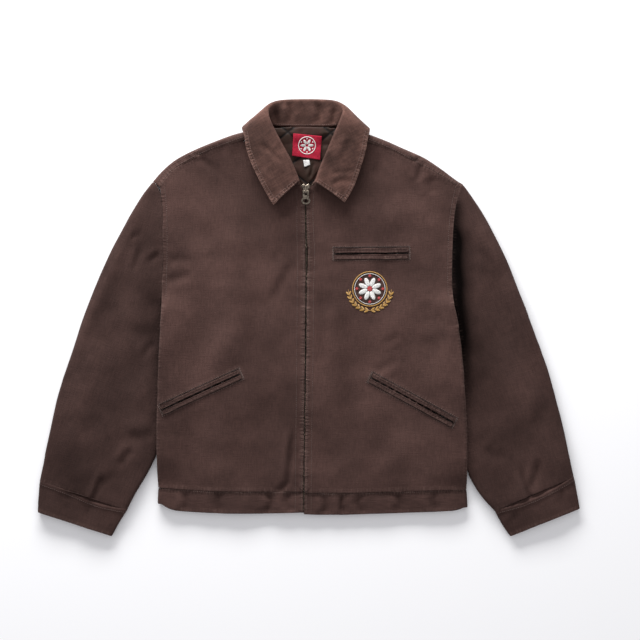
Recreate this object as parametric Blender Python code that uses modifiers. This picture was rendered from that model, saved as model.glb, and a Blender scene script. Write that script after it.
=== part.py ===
"""Ranch jacket laid flat on its back: canvas body, quilted lining, turned-down
collar, banded hem and cuffs, front zip with a hanging pull tab.

Tables are in millimetres on the garment as it lies: x to the right, y towards
the collar, z up from the surface it rests on. "right" and "left" in names are
the wearer's, so right lies at -x.
"""

import math

import bmesh
import bpy
import numpy as np
from mathutils import Matrix, Vector
from mathutils.bvhtree import BVHTree

MM = 0.001

# Cloth and seams
SEAM_GAP = 0.3          # air left between two pieces at a seam
BODY_WALL = 5.0         # canvas with its quilted lining
SLEEVE_WALL = 4.2
BAND_WALL = 3.8         # canvas folded double
COLLAR_WALL = 3.2
ROLL_RADIUS = 2.9       # middle of the cloth at the collar's roll
FRONT_UNDER = 6.2       # height of the fronts' inner face above the back's underside
SIDE_ROUNDING = 10.0    # how far in from the side seam a panel starts to turn
# Sleeves
SLEEVE_HEIGHT = 12.4
CUFF_HEIGHT = 10.4
TUCKED_HEIGHT = 9.0     # sleeve pressed flat under the body's side
TUCK_LIFT = 9.5         # the body's underside over that strip
TUCK_RAMP = 48.0
EDGE_ROUNDING = 6.0
# Neck
NECK_LIFT = 4.4         # the back lies on the collar's fall here
# Zip
ZIP_RIDGE = 1.4         # the fronts rise over the zip tape
SLIDER_LENGTH = 16.0
SLIDER_WIDTH = 12.5
PULL_LENGTH = 23.0
BAR_TO_TOP = 1.3
PULL_TILT = 9.0

# Shoulder strips, from neck to armhole.
# columns: x, y of the fold, x, y of the front seam, x, y of the back seam
YOKE_RIGHT = [
    (-91, 323, -91, 315, -91, 311), (-110, 322, -110, 309, -110, 305),
    (-133, 319, -130, 302, -130, 298), (-164, 305.5, -155, 293, -155, 289),
    (-192, 291.5, -180, 283, -180, 279), (-223, 278, -208, 269.5, -208, 265.5),
    (-242, 264.5, -230, 256, -230, 252), (-256, 250.5, -243, 243, -243, 239),
    (-267.4, 236, -254, 225.2, -254, 225.2),
]
YOKE_LEFT = [
    (84, 321, 82, 312.5, 82, 308), (101, 319, 99, 306, 99, 303),
    (137, 305.5, 130, 294, 130, 290), (164, 292, 157, 281.5, 155, 278),
    (197, 278.5, 190, 264, 190, 260), (218, 264.5, 212, 252.5, 212, 249),
    (238, 251, 231, 242, 230, 239.5), (254, 237.5, 248, 232, 246, 231),
    (265.2, 230.5, 260, 226.2, 260, 226.2),
]
# Edges of the panels, each from hem to neck or from zip to side.
# The shoulder end of each top edge is the strip's seam. columns: x, y
FRONT_RIGHT = {
    "zip": [(-10, -298), (-9, -210), (-8, -141), (-7, -21), (-6, 83), (-7, 151), (-7, 222)],
    "hem": [(-10, -298), (-90, -298), (-169, -297), (-259, -291)],
    "side": [(-259, -291), (-261, -210), (-257, -55), (-252.5, 8), (-251, 65), (-250, 126),
             (-250.5, 180), (-254, 224)],
    "top": [(-7, 222), (-28, 251), (-49, 280), (-68, 306), (-83, 316.5)]
           + [(row[2], row[3]) for row in YOKE_RIGHT[1:-1]] + [(-254, 224)],
}
FRONT_LEFT = {
    "zip": [(-6, -300), (-5, -210), (-4, -141), (-2, -21), (-2, 48), (0, 108), (-3, 177), (-1, 222)],
    "hem": [(-6, -300), (80, -300), (140, -298), (272, -294)],
    "side": [(272, -294), (273, -208), (269, -132), (264, -60), (256, -8), (248.5, 30),
             (246, 65), (247, 126), (251, 180), (260, 225)],
    "top": [(-1, 222), (20, 251), (39, 280), (58, 306), (73, 314.5)]
           + [(row[2], row[3]) for row in YOKE_LEFT[1:-1]] + [(260, 225)],
}
# The back's top edge lies under the fronts, below the shoulder's fold.
BACK = {
    "middle": [(-8, -299), (-3, 0), (-3, 328)],
    "top_right": [(-3, 328), (-50, 328), (-72, 321)]
                 + [(row[4], row[5]) for row in YOKE_RIGHT[:-1]] + [(-254, 223.6)],
    "top_left": [(-3, 328), (40, 328), (63, 321)]
                + [(row[4], row[5]) for row in YOKE_LEFT[:-1]] + [(260, 224.6)],
}
YOKE_STEP_RIGHT = (-196, 2.2)   # x where the back's pleat ends, height of its step
YOKE_STEP_LEFT = (188, 2.2)

# Inner edge of the sleeve tucked under the body's side. columns: y, x
TUCK_RIGHT = [(40, -252), (-10, -251), (-45, -247), (-85, -242), (-125, -238), (-168, -239),
              (-226, -254), (-284, -283)]
TUCK_LEFT = [(40, 249), (-6, 254), (-45, 250), (-85, 245), (-125, 243), (-172, 247),
             (-228, 260), (-282, 278)]
# y between which the body rises over the sleeve, and comes down again
TUCK_RISE_RIGHT = (48, 14, -246, -290)
TUCK_RISE_LEFT = (50, 18, -258, -292)

# Armholes run from the shoulder's fold down the side's edge to the underarm.
ARMHOLE_RIGHT = {"fold": (-268.6, 235.2), "side": FRONT_RIGHT["side"], "underarm": 0.625}
ARMHOLE_LEFT = {"fold": (266.4, 229.5), "side": FRONT_LEFT["side"], "underarm": 0.63}
# Sleeve sections from the armhole to the cuff; the first follows the armhole.
# columns: outer edge x, y, inner edge x, y, share of the armhole's bend
SLEEVE_RIGHT = [
    (-268.6, 235.2, -252.9, 28, 1.0), (-290, 208, -252.8, -10, 0.4), (-312, 169, -249, -46, 0.1),
    (-336, 124, -244, -85, 0), (-360, 72, -240, -125, 0), (-383, 17, -241, -168, 0),
    (-410, -67, -256, -226, 0), (-433, -134, -286, -284, 0), (-448, -205, -302, -310, 0),
    (-463, -280, -312, -330, 0),
]
SLEEVE_LEFT = [
    (266.4, 229.5, 249.4, 32, 1.0), (289, 198, 257, -6, 0.4), (310, 165, 253, -45, 0.1),
    (333, 119, 247, -85, 0), (355, 67, 245, -125, 0), (376, 12, 249, -172, 0),
    (398, -48, 262, -228, 0), (419, -110, 280, -282, 0), (438, -182, 298, -310, 0),
    (457, -273, 320, -332, 0),
]
CUFF_RIGHT = [(-463.2, -280.4, -311.7, -330.4, 0), (-465, -308, -324, -350, 0),
              (-467, -334, -338, -376, 0)]
CUFF_LEFT = [(457.2, -273.4, 320.3, -332.4, 0), (463, -302, 332, -355, 0),
             (468, -328, 347, -376, 0)]

# Collar, from the wearer's right zip edge round the neck to the left one.
# columns: neck seam x, y, z, roll x, y, z, bend x, y, z, outer edge x, y, z
COLLAR = [
    (-14, 227, 13.2, -17, 233, 24, -42, 211, 24.5, -60, 193, 19.5),
    (-30, 252, 13.2, -25, 255, 28, -56, 238, 26, -79, 225, 19.0),
    (-50, 280, 12.8, -35, 278, 30.5, -70, 265, 26.5, -95, 257, 19.0),
    (-68, 304, 16.4, -49, 302, 32, -84, 293, 27, -106, 287, 20.0),
    (-80, 317, 17.4, -61, 326, 32.5, -92, 319, 28, -109, 308, 21.5),
    (-79, 328, 15.5, -69, 346, 31.5, -98, 335, 26, -112, 319, 19.0),
    (-72, 333, 12.5, -69, 361, 26, -91, 347, 16, -113, 329, 5.0),
    (-56, 331, 10.2, -58, 369, 18, -68, 368, 5.0, -86, 322, 2.2),
    (-36, 329.6, 8.8, -40, 373, 15, -42, 374, 3.2, -48, 318, 2.0),
    (-3, 329.4, 8.2, -3, 374.2, 14.5, -3, 375.2, 3.0, -3, 316, 2.0),
    (30, 329.6, 8.8, 32, 373, 15, 34, 374, 3.2, 42, 317, 2.0),
    (47, 331, 10.2, 51, 369, 18, 62, 367, 5.0, 76, 321, 2.2),
    (64, 333, 12.5, 61, 359, 26, 83, 345, 16, 102, 328, 5.0),
    (70, 326, 15.5, 58, 345, 31.5, 87, 334, 26, 105, 320, 19.0),
    (71, 315, 17.4, 50, 326, 32.5, 82, 316, 28, 102, 309, 21.5),
    (59, 303, 16.4, 40, 302, 32, 74, 289, 27, 98, 284, 20.0),
    (41, 279, 12.8, 30, 278, 30.5, 64, 262, 26.5, 88, 252, 19.0),
    (22, 252, 13.2, 20, 255, 28, 53, 236, 26, 77, 221, 19.0),
    (7, 227, 13.2, 13, 232, 24, 43, 212, 24.5, 62, 198, 19.5),
]

# Largest folds of the outer faces.
# columns: start x, y, end x, y, half width, height
FOLDS_RIGHT = [
    (-105, 105, -101, -90, 24, 1.4), (-60, 95, -96, 30, 12, 1.2),
    (-120, 0, -222, -192, 30, 1.3), (-26, -185, -40, -285, 13, 1.4),
    (-236, 60, -205, 77, 9, 0.9),
]
FOLDS_LEFT = [
    (64, 60, 66, -210, 22, 1.4), (128, -45, 154, -32, 10, 0.9),
    (112, -90, 152, -70, 10, 0.9), (195, 262, 190, 232, 9, 1.0),
    (215, 190, 120, 170, 26, 1.0), (190, -190, 110, -270, 24, 1.1),
]
FOLDS_SLEEVE_RIGHT = [
    (-282, 195, -385, -40, 13, 1.2), (-300, 143, -288, 84, 10, 1.1),
    (-270, 118, -288, 96, 8, 0.9), (-309, -232, -324, -262, 9, 1.1),
    (-358, -40, -420, -270, 24, 1.2),
]
FOLDS_SLEEVE_LEFT = [
    (284, 176, 384, -40, 16, 1.2), (330, 60, 372, -210, 24, 1.2),
    (366, -262, 388, -320, 7, 1.2),
]

# Doubled welts beside each pocket's slit.
# columns: name, slit start x, y, slit end x, y, width of one welt
POCKETS = [
    ("hand_welt_right", -251, -157, -118, -96.5, 7.6),
    ("hand_welt_left", 107.5, -102.5, 248, -179, 7.6),
    ("chest_welt", 45, 110.4, 171, 111.6, 8.6),
]
WELT_THICKNESS = 1.3
WELT_LIFT = 0.4

# columns: corner x, y, going round
NECK_LABEL = [(-26, 317), (23, 312), (20, 272), (-28, 279)]
SIZE_TAB = [(-9, 270.5), (1, 271.5), (3, 263), (-7, 259)]


# ---------------------------------------------------------------- helpers

def smooth(t):
    t = min(1.0, max(0.0, t))
    return t * t * (3 - 2 * t)


def mix(a, b, t):
    return a + (b - a) * t


def table_at(rows, t):
    """Point t of the way along a table's rows, eased between them."""
    rows = np.asarray(rows, float)
    steps = np.linalg.norm(np.diff(rows[:, :2], axis=0), axis=1)
    along = np.concatenate([[0], np.cumsum(steps)])
    s = t * along[-1]
    i = min(len(rows) - 2, max(0, int(np.searchsorted(along, s)) - 1))
    f = (s - along[i]) / (along[i + 1] - along[i])
    return eased(rows, i, f)


def eased(rows, i, f):
    """Catmull-Rom between rows i and i + 1."""
    a = rows[max(i - 1, 0)]
    b, c = rows[i], rows[i + 1]
    d = rows[min(i + 2, len(rows) - 1)]
    m0, m1 = (c - a) / 2, (d - b) / 2
    f2, f3 = f * f, f * f * f
    return (b * (2 * f3 - 3 * f2 + 1) + m0 * (f3 - 2 * f2 + f)
            + c * (-2 * f3 + 3 * f2) + m1 * (f3 - f2))


def edge_by_x(rows, x):
    """y of an edge table at x."""
    rows = sorted(rows)
    return float(np.interp(x, [r[0] for r in rows], [r[1] for r in rows]))


def tuck_edge(rows, y):
    rows = sorted(rows)
    return float(np.interp(y, [r[0] for r in rows], [r[1] for r in rows]))


def fold_height(folds, x, y):
    total = 0.0
    for x0, y0, x1, y1, half, height in folds:
        dx, dy = x1 - x0, y1 - y0
        length = math.hypot(dx, dy)
        along = ((x - x0) * dx + (y - y0) * dy) / length
        across = ((x - x0) * dy - (y - y0) * dx) / length
        ends = smooth((along + half) / (2 * half)) * smooth((length + half - along) / (2 * half))
        total += height * ends * math.exp(-(across / half) ** 2)
    return total


def tucked(x, y):
    """1 where the body lies on a sleeve, easing to 0 towards the middle."""
    if x < 0:
        inner, rise = x - tuck_edge(TUCK_RIGHT, y), TUCK_RISE_RIGHT
    else:
        inner, rise = tuck_edge(TUCK_LEFT, y) - x, TUCK_RISE_LEFT
    start = smooth((rise[0] - y) / (rise[0] - rise[1]))
    stop = smooth((y - rise[3]) / (rise[2] - rise[3]))
    return (1 - smooth((inner - 4) / TUCK_RAMP)) * start * stop


def neck_rise(x, y):
    """1 where the back lies on the collar's fall behind the neck."""
    beside = 1 - smooth((abs(x + 4) - 118) / 26)
    below = smooth((y - 292) / 22)
    return beside * below


def body_lift(x, y):
    return TUCK_LIFT * tucked(x, y) + NECK_LIFT * neck_rise(x, y)


def new_object(name, verts, faces, material, smooth_shading=True):
    mesh = bpy.data.meshes.new(name)
    mesh.from_pydata([Vector(v) * MM for v in verts], [], faces)
    bm = bmesh.new()
    bm.from_mesh(mesh)
    bmesh.ops.remove_doubles(bm, verts=bm.verts, dist=0.00001)
    bmesh.ops.recalc_face_normals(bm, faces=bm.faces)
    bm.to_mesh(mesh)
    bm.free()
    mesh.materials.append(material)
    for polygon in mesh.polygons:
        polygon.use_smooth = smooth_shading
    part = bpy.data.objects.new(name, mesh)
    collection.objects.link(part)
    return part


def wall(name, outer, inner, material):
    """Closed wall between two grids of points with the same rows and columns."""
    rows, cols = len(outer), len(outer[0])
    verts = [p for row in outer for p in row] + [p for row in inner for p in row]
    far = rows * cols

    def at(r, c, side):
        return side * far + r * cols + c

    faces = []
    for r in range(rows - 1):
        for c in range(cols - 1):
            for side in (0, 1):
                a, b, c2, d = (at(r, c, side), at(r, c + 1, side),
                               at(r + 1, c + 1, side), at(r + 1, c, side))
                # split along the higher diagonal, so stacked panels split alike
                if verts[a][2] + verts[c2][2] >= verts[b][2] + verts[d][2]:
                    faces += [(a, b, c2), (a, c2, d)]
                else:
                    faces += [(a, b, d), (b, c2, d)]
    rim = ([(0, c) for c in range(cols)] + [(r, cols - 1) for r in range(1, rows)]
           + [(rows - 1, c) for c in range(cols - 2, -1, -1)]
           + [(r, 0) for r in range(rows - 2, 0, -1)])
    for k, (r, c) in enumerate(rim):
        r2, c2 = rim[(k + 1) % len(rim)]
        faces.append((at(r, c, 0), at(r, c, 1), at(r2, c2, 1), at(r2, c2, 0)))
    return new_object(name, verts, faces, material)


def tube(name, outer, inner, material):
    """Open tube between outer and inner rings with the same number of points."""
    rings, count = len(outer), len(outer[0])
    verts = [p for ring in outer for p in ring] + [p for ring in inner for p in ring]
    far = rings * count
    faces = []
    for r in range(rings - 1):
        for k in range(count):
            k2 = (k + 1) % count
            a, b, c, d = r * count + k, r * count + k2, (r + 1) * count + k2, (r + 1) * count + k
            faces.append((a, b, c, d))
            faces.append((far + a, far + d, far + c, far + b))
    for r in (0, rings - 1):
        for k in range(count):
            a, b = r * count + k, r * count + (k + 1) % count
            faces.append((a, far + a, far + b, b))
    return new_object(name, verts, faces, material)


def fine_steps(stops):
    """Parameters between 0 and 1: stops are (end, number of steps) pairs."""
    values, start = [0.0], 0.0
    for end, count in stops:
        values += [mix(start, end, (k + 1) / count) for k in range(count)]
        start = end
    return values


# ---------------------------------------------------------------- body panels

TURN_ANGLES = [math.radians(a) for a in (25, 48, 70, 90)]


def patch_between(edges):
    """Smooth patch filling four edges: u from zip to side, v from hem to top."""
    low0, low1 = np.array(edges["hem"][0], float), np.array(edges["hem"][-1], float)
    top0, top1 = np.array(edges["top"][0], float), np.array(edges["top"][-1], float)

    def point(u, v):
        across = mix(table_at(edges["hem"], u), table_at(edges["top"], u), v)
        along = mix(table_at(edges["zip"], v), table_at(edges["side"], v), u)
        return across + along - mix(mix(low0, low1, u), mix(top0, top1, u), v)

    return point


def panel_rows(edges, flat_steps, row_steps):
    """Rows of (outer x, y, inner x, y, turn), ending in the turn at the side."""
    point = patch_between(edges)
    grid = []
    for v in row_steps:
        start, side = point(0, v), point(1, v)
        width = float(np.linalg.norm(side - start))
        turning = SIDE_ROUNDING / width
        amount = turn_amount(side[1])
        row = []
        for u in flat_steps:
            x, y = point(u * (1 - turning), v)
            row.append((x, y, x, y, 0.0))
        for angle in TURN_ANGLES:
            s = math.sin(angle)
            x, y = point(1 - turning * (1 - s), v)
            xi, yi = point(1 - turning * (1 - s) - BODY_WALL * amount * s / width, v)
            row.append((x, y, xi, yi, angle))
        grid.append(row)
    return grid


def turn_amount(y):
    """How far the side's edge turns over: fully below the underarm."""
    return smooth((34 - y) / 22)


# Rows crowd at the underarm, where the body rises over the sleeve.
PANEL_ROWS = [(0.02, 1), (0.12, 2), (0.52, 5), (0.66, 6), (0.93, 4), (1.0, 2)]
FRONT_COLUMNS = [(0.04, 1), (0.32, 3), (0.68, 2), (1.0, 5)]
BACK_COLUMNS = [(0.32, 3), (0.68, 2), (1.0, 5)]


RIMS = {}   # top edge of each finished panel, which the shoulder strips follow


def front_panel(name, edges, folds, material):
    outer, inner = [], []
    for row in panel_rows(edges, fine_steps(FRONT_COLUMNS), fine_steps(PANEL_ROWS)):
        outer_row, inner_row = [], []
        flat = row[-len(TURN_ANGLES) - 1]
        for x, y, xi, yi, turn in row:
            # height follows the flat part's end all round the turn
            hx, hy = (flat[0], flat[1]) if turn else (x, y)
            from_zip = abs(x - side_x(edges["zip"], y))
            under = (FRONT_UNDER + body_lift(hx, hy)
                     + ZIP_RIDGE * (1 - smooth((from_zip - 6) / 16)))
            top = under + BODY_WALL + fold_height(folds, hx, hy)
            # a dent along the hem and along the zip
            top -= 1.0 * (1 - smooth((y - edge_by_x(edges["hem"], x)) / 12))
            top -= 1.0 * (1 - smooth(from_zip / 6))
            amount = turn_amount(y)
            c = math.cos(turn)
            mid = FRONT_UNDER - 0.35 + body_lift(hx, hy)
            outer_row.append((x, y, top - amount * (top - mid) * (1 - c)))
            inner_row.append((xi, yi, under - amount * (under - mid) * (1 - c)))
        outer.append(outer_row)
        inner.append(inner_row)
    RIMS[name] = sorted(p[:2] for p in outer[-1])
    return wall(name, outer, inner, material)


def back_panel(material):
    halves = []
    for side, top in ((FRONT_RIGHT["side"], BACK["top_right"]),
                      (FRONT_LEFT["side"], BACK["top_left"])):
        low = BACK["middle"][0]
        edges = {"zip": BACK["middle"], "side": side, "top": top,
                 "hem": [low, mix(np.array(low, float), np.array(side[0], float), 0.5), side[0]]}
        halves.append(panel_rows(edges, fine_steps(BACK_COLUMNS), fine_steps(PANEL_ROWS)))
    outer, inner = [], []
    for right_row, left_row in zip(*halves):
        outer_row, inner_row = [], []
        ends = (right_row[-len(TURN_ANGLES) - 1], left_row[-len(TURN_ANGLES) - 1])
        both = ([(point, ends[0]) for point in reversed(right_row)]
                + [(point, ends[1]) for point in left_row[1:]])
        for (x, y, xi, yi, turn), flat in both:
            hx, hy = (flat[0], flat[1]) if turn else (x, y)
            under = body_lift(hx, hy)
            top = under + BODY_WALL
            amount = turn_amount(y)
            c = math.cos(turn)
            mid = FRONT_UNDER - 0.35 - SEAM_GAP + body_lift(hx, hy)
            outer_row.append((x, y, under + amount * (mid - under) * (1 - c)))
            inner_row.append((xi, yi, top + amount * (mid - top) * (1 - c)))
        outer.append(outer_row)
        inner.append(inner_row)
    RIMS["back"] = sorted(p[:2] for p in outer[-1])
    return wall("back", outer, inner, material)


def yoke(name, rows, step, sign, front, material):
    """Shoulder strip: from the front seam over the fold to the back seam."""
    outer, inner = [], []
    rows = sorted(rows, key=lambda row: row[2])
    seam_x = [row[2] for row in rows]
    # a station at every point of the front's own edge, to stay even with it
    places = [x for x, y in RIMS[front] if seam_x[0] <= x <= seam_x[-1]]
    places = [seam_x[0]] + [x for x in places if x - seam_x[0] > 4 and seam_x[-1] - x > 4]
    for front_x in places + [seam_x[-1]]:
        fold_x, fold_y = (np.interp(front_x, seam_x, [row[k] for row in rows]) for k in (0, 1))
        front_y = np.interp(front_x, *zip(*RIMS[front])) + 2 * SEAM_GAP
        back_x = front_x
        back_y = np.interp(front_x, *zip(*RIMS["back"])) + 5 * SEAM_GAP
        high, middle = FRONT_UNDER + BODY_WALL, FRONT_UNDER - 0.6
        # the pleat's end leaves the neck side a little higher
        high_here = high + step[1] * (1 - smooth((sign * (front_x - step[0]) + 2) / 4))
        reach = math.hypot(fold_x - front_x, fold_y - front_y)
        ahead = np.array((fold_x - front_x, fold_y - front_y)) / max(reach, 0.01)
        rounding = min(6.5, 0.6 * reach)
        hollow = max(rounding - BODY_WALL, 0.6)
        start = np.array((fold_x, fold_y)) - ahead * rounding
        outer_row = [(front_x, front_y, high)]
        inner_row = [(front_x, front_y, high - BODY_WALL)]
        for angle in (0, 45, 90, 135, 180):
            a = math.radians(angle)
            up = high_here - middle if angle <= 90 else middle
            p = start + ahead * rounding * math.sin(a)
            q = start + ahead * hollow * math.sin(a)
            outer_row.append((p[0], p[1], middle + up * math.cos(a)))
            inner_row.append((q[0], q[1], middle + 0.4 * math.cos(a)))
        outer_row.append((back_x, back_y, 0.0))
        inner_row.append((back_x, back_y, BODY_WALL))
        outer.append([(x, y, z + body_lift(x, y)) for x, y, z in outer_row])
        inner.append([(x, y, z + body_lift(x, y)) for x, y, z in inner_row])
    return wall(name, outer, inner, material)


# ---------------------------------------------------------------- sleeves

def armhole_point(armhole, t):
    """Point t of the way from the shoulder's fold to the underarm."""
    corner = table_at(armhole["side"], 1.0)
    fold = np.array(armhole["fold"], float)
    out = math.copysign(0.8, fold[0])
    short = 0.075
    if t < short:
        return mix(fold, corner + (out, 0.0), t / short)
    v = mix(1.0, armhole["underarm"], (t - short) / (1 - short))
    return table_at(armhole["side"], v) + (out, 0.0)


def section_line(row, armhole, t):
    """Point t of the way across a sleeve section, from outer to inner edge."""
    ox, oy, ix, iy, bend = row
    point = np.array((mix(ox, ix, t), mix(oy, iy, t)))
    if bend > 0:
        straight = mix(armhole_point(armhole, 0.0), armhole_point(armhole, 1.0), t)
        point += bend * (armhole_point(armhole, t) - straight)
    return point


def flattened_ring(row, armhole, height_at, folds, wall_thickness, radius, slant=1.0):
    """Outer and inner points round a flattened tube's section."""
    ox, oy, ix, iy = row[:4]
    width = math.hypot(ix - ox, iy - oy)
    across = fine_steps([(0.1, 1), (0.9, 5), (1.0, 1)])
    outer, inner = [], []

    def place(distance, z, store):
        x, y = section_line(row, armhole, distance / width)
        store.append((x, y, z))

    def heights(distance):
        x, y = section_line(row, armhole, min(1, max(0, distance / width)))
        return height_at(x, y), fold_height(folds, x, y)

    reach = width - 2 * radius
    # where the section runs along the inner edge, the hollow ends earlier
    hollow_reach = reach - wall_thickness * (1 / max(slant, 0.25) - 1)
    for t in across:
        d = radius + reach * t
        h, fold = heights(d)
        place(d, h + fold, outer)
        d = radius + hollow_reach * t
        h, fold = heights(d)
        place(d, h - wall_thickness, inner)
    for angle in (45, 90, 135):
        a = math.radians(angle)
        h, _ = heights(width - radius)
        hollow = h / 2 - wall_thickness
        place(width - radius + radius * math.sin(a), h / 2 + h / 2 * math.cos(a), outer)
        place(radius + hollow_reach + (radius - wall_thickness) * math.sin(a),
              h / 2 + hollow * math.cos(a), inner)
    for t in reversed((0.0, 0.33, 0.67, 1.0)):
        place(radius + reach * t, 0.0, outer)
        place(radius + hollow_reach * t, wall_thickness, inner)
    for angle in (45, 90, 135):
        a = math.radians(angle)
        h, _ = heights(radius)
        hollow = h / 2 - wall_thickness
        place(radius - radius * math.sin(a), h / 2 - h / 2 * math.cos(a), outer)
        place(radius - (radius - wall_thickness) * math.sin(a),
              h / 2 - hollow * math.cos(a), inner)
    return outer, inner


def sleeve(name, rows, armhole, folds, sign, material):
    def height_at(x, y):
        # pressed flat where the body lies on it, and a little beyond its edge
        side = FRONT_RIGHT["side"] if sign < 0 else FRONT_LEFT["side"]
        edge = side_x(side, y)
        beyond = sign * (x - edge)
        rise = TUCK_RISE_RIGHT if sign < 0 else TUCK_RISE_LEFT
        start = smooth((rise[0] + 16 - y) / 26)
        stop = smooth((y - rise[3]) / 30)
        pressed = start * stop * (1 - smooth((beyond - 3) / 24))
        return SLEEVE_HEIGHT - (SLEEVE_HEIGHT - TUCKED_HEIGHT) * pressed

    rows = np.array(rows, float)
    rings = []
    for k in range(len(rows) - 1):
        for f in ((0.0, 0.5) if k in (3, 5, 6) else (0.0,)):
            rings.append(eased(rows, k, f))
    rings.append(rows[-1])
    outer, inner = [], []
    for k, ring in enumerate(rings):
        across = ring[2:4] - ring[0:2]
        edge = rings[min(k + 1, len(rings) - 1)][2:4] - rings[max(k - 1, 0)][2:4]
        slant = (abs(across[0] * edge[1] - across[1] * edge[0])
                 / np.linalg.norm(across) / np.linalg.norm(edge))
        o, i = flattened_ring(ring, armhole, height_at, folds, SLEEVE_WALL, EDGE_ROUNDING, slant)
        outer.append(o)
        inner.append(i)
    return tube(name, outer, inner, material)


def side_x(rows, y):
    rows = sorted((r[1], r[0]) for r in rows)
    return float(np.interp(y, [r[0] for r in rows], [r[1] for r in rows]))


def cuff(name, rows, material):
    outer, inner = [], []
    for row in rows:
        o, i = flattened_ring(row, None, lambda x, y: CUFF_HEIGHT, [], BAND_WALL,
                              EDGE_ROUNDING - 1)
        outer.append(o)
        inner.append(i)
    return tube(name, outer, inner, material)


# ---------------------------------------------------------------- hem band

def band(name, top_edge, bottom_edge, sign, front, material, both=False):
    """One part of the doubled band: from the zip or the other side to the side seam."""
    steps = fine_steps([(0.85, 5), (1.0, 2)])
    outer, inner = [], []
    under0 = FRONT_UNDER - 1.0 if front else 0.0
    rounding = 7.0
    mid = BAND_WALL + 0.45 + (0.15 if front else -0.15)
    for v in (0.0, 0.5, 1.0):
        row = []
        for u in steps:
            p = mix(table_at(bottom_edge, u), table_at(top_edge, u), v)
            if both:
                p[0] += rounding * (1 - 2 * u)
            else:
                p[0] -= sign * rounding * u
            row.append((p[0], p[1], 0.0, sign))
        turned = [(row[-1][0], row[-1][1], a, sign) for a in TURN_ANGLES]
        if both:
            turned = [(row[-1][0], row[-1][1], a, 1) for a in TURN_ANGLES]
            row = [(row[0][0], row[0][1], a, -1) for a in reversed(TURN_ANGLES)] + row
        row += turned
        outer_row, inner_row = [], []
        swell = 0.5 * math.sin(math.pi * v)
        for x, y, turn, s_ in row:
            s, c = math.sin(turn), math.cos(turn)
            low, high = under0, under0 + BAND_WALL
            if front:
                high += swell
                near, far_ = high, low
            else:
                near, far_ = low, high
            outer_row.append((x + s_ * rounding * s, y, near + (mid - near) * (1 - c)))
            inner_row.append((x + s_ * (rounding - BAND_WALL) * s, y, far_ + (mid - far_) * (1 - c)))
        outer.append(outer_row)
        inner.append(inner_row)
    return wall(name, outer, inner, material)


# ---------------------------------------------------------------- collar

def unit(v):
    return v / np.linalg.norm(v)


def section_path(neck, roll, bend, edge):
    """Collar section: up the stand, round the roll, down the fall to its edge."""
    neck, roll, bend, edge = (np.array(p, float) for p in (neck, roll, bend, edge))
    corner = roll
    for _ in range(4):
        up, down = unit(corner - neck), unit(bend - corner)
        half = 0.5 * math.acos(max(-1.0, min(1.0, float(up @ down))))
        outward = unit(up - down)
        corner = roll + outward * ROLL_RADIUS * (1 / math.cos(half) - 1)
    centre = roll - outward * ROLL_RADIUS
    along = unit(up + down)
    path = [neck]
    for k in range(6):
        a = half * (2 * k / 5 - 1)
        path.append(centre + ROLL_RADIUS * (outward * math.cos(a) + along * math.sin(a)))
    path.insert(1, mix(neck, path[1], 0.55))
    a = mix(bend, path[-1], min(0.45, 12 / np.linalg.norm(path[-1] - bend)))
    b = mix(bend, edge, min(0.45, 12 / np.linalg.norm(edge - bend)))
    path += [mix(mix(a, bend, f), mix(bend, b, f), f) for f in (0.0, 0.33, 0.67, 1.0)]
    return path + [mix(b, edge, 0.5), edge]


def collar(material):
    rows = np.array(COLLAR, float)
    middle = []
    for k in range(len(rows) - 1):
        for f in ((0.0, 0.5) if 2 < k < 8 or 9 < k < 15 else (0.0,)):
            middle.append(eased(rows, k, f))
    middle.append(rows[-1])
    grid = [section_path(r[0:3], r[3:6], r[6:9], r[9:12]) for r in middle]
    cols = len(grid[0])
    verts = [p for row in grid for p in row]
    faces = []
    for r in range(len(grid) - 1):
        for c in range(cols - 1):
            a = r * cols + c
            faces.append((a, a + 1, a + cols + 1, a + cols))
    part = new_object("collar", verts, faces, material)
    thick = part.modifiers.new("doubled cloth", "SOLIDIFY")
    thick.thickness = COLLAR_WALL * MM
    thick.offset = 0.0
    thick.use_even_offset = False
    return part


# ---------------------------------------------------------------- small pieces

def surface_of(part):
    """Function giving the top height in mm of a finished part at x, y in mm."""
    bm = bmesh.new()
    bm.from_mesh(part.data)
    tree = BVHTree.FromBMesh(bm)
    bm.free()

    def top(x, y):
        hit = tree.ray_cast(Vector((x * MM, y * MM, 0.2)), Vector((0, 0, -1)))
        return hit[0].z / MM if hit[0] is not None else None

    return top


def draped_strip(name, top, start, end, offset, width, material):
    """Thin strip lying on a surface between two points, offset to one side."""
    length = math.hypot(end[0] - start[0], end[1] - start[1])
    along = ((end[0] - start[0]) / length, (end[1] - start[1]) / length)
    left = (-along[1], along[0])
    outer, inner = [], []
    for k in range(3):
        across = offset + width * k / 2
        outer_row, inner_row = [], []
        for j in range(15):
            d = length * j / 14
            x, y = start[0] + along[0] * d + left[0] * across, start[1] + along[1] * d + left[1] * across
            z = max(top(x + dx, y + dy) or 0 for dx in (-3, 0, 3) for dy in (-3, 0, 3))
            full = 1.0 if k == 1 else 0.7
            outer_row.append((x, y, z + WELT_LIFT + WELT_THICKNESS * full))
            inner_row.append((x, y, z + WELT_LIFT))
        outer.append(outer_row)
        inner.append(inner_row)
    return wall(name, outer, inner, material)


def patch(name, corners, low_at, thickness, material, steps=(5, 4)):
    """Thin four-cornered piece of cloth lying at low_at(x, y)."""
    a, b, c, d = [np.array(p, float) for p in corners]
    outer, inner = [], []
    for j in range(steps[1] + 1):
        left, right = mix(a, d, j / steps[1]), mix(b, c, j / steps[1])
        row = [mix(left, right, i / steps[0]) for i in range(steps[0] + 1)]
        outer.append([(x, y, low_at(x, y) + thickness) for x, y in row])
        inner.append([(x, y, low_at(x, y)) for x, y in row])
    return wall(name, outer, inner, material)


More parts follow.
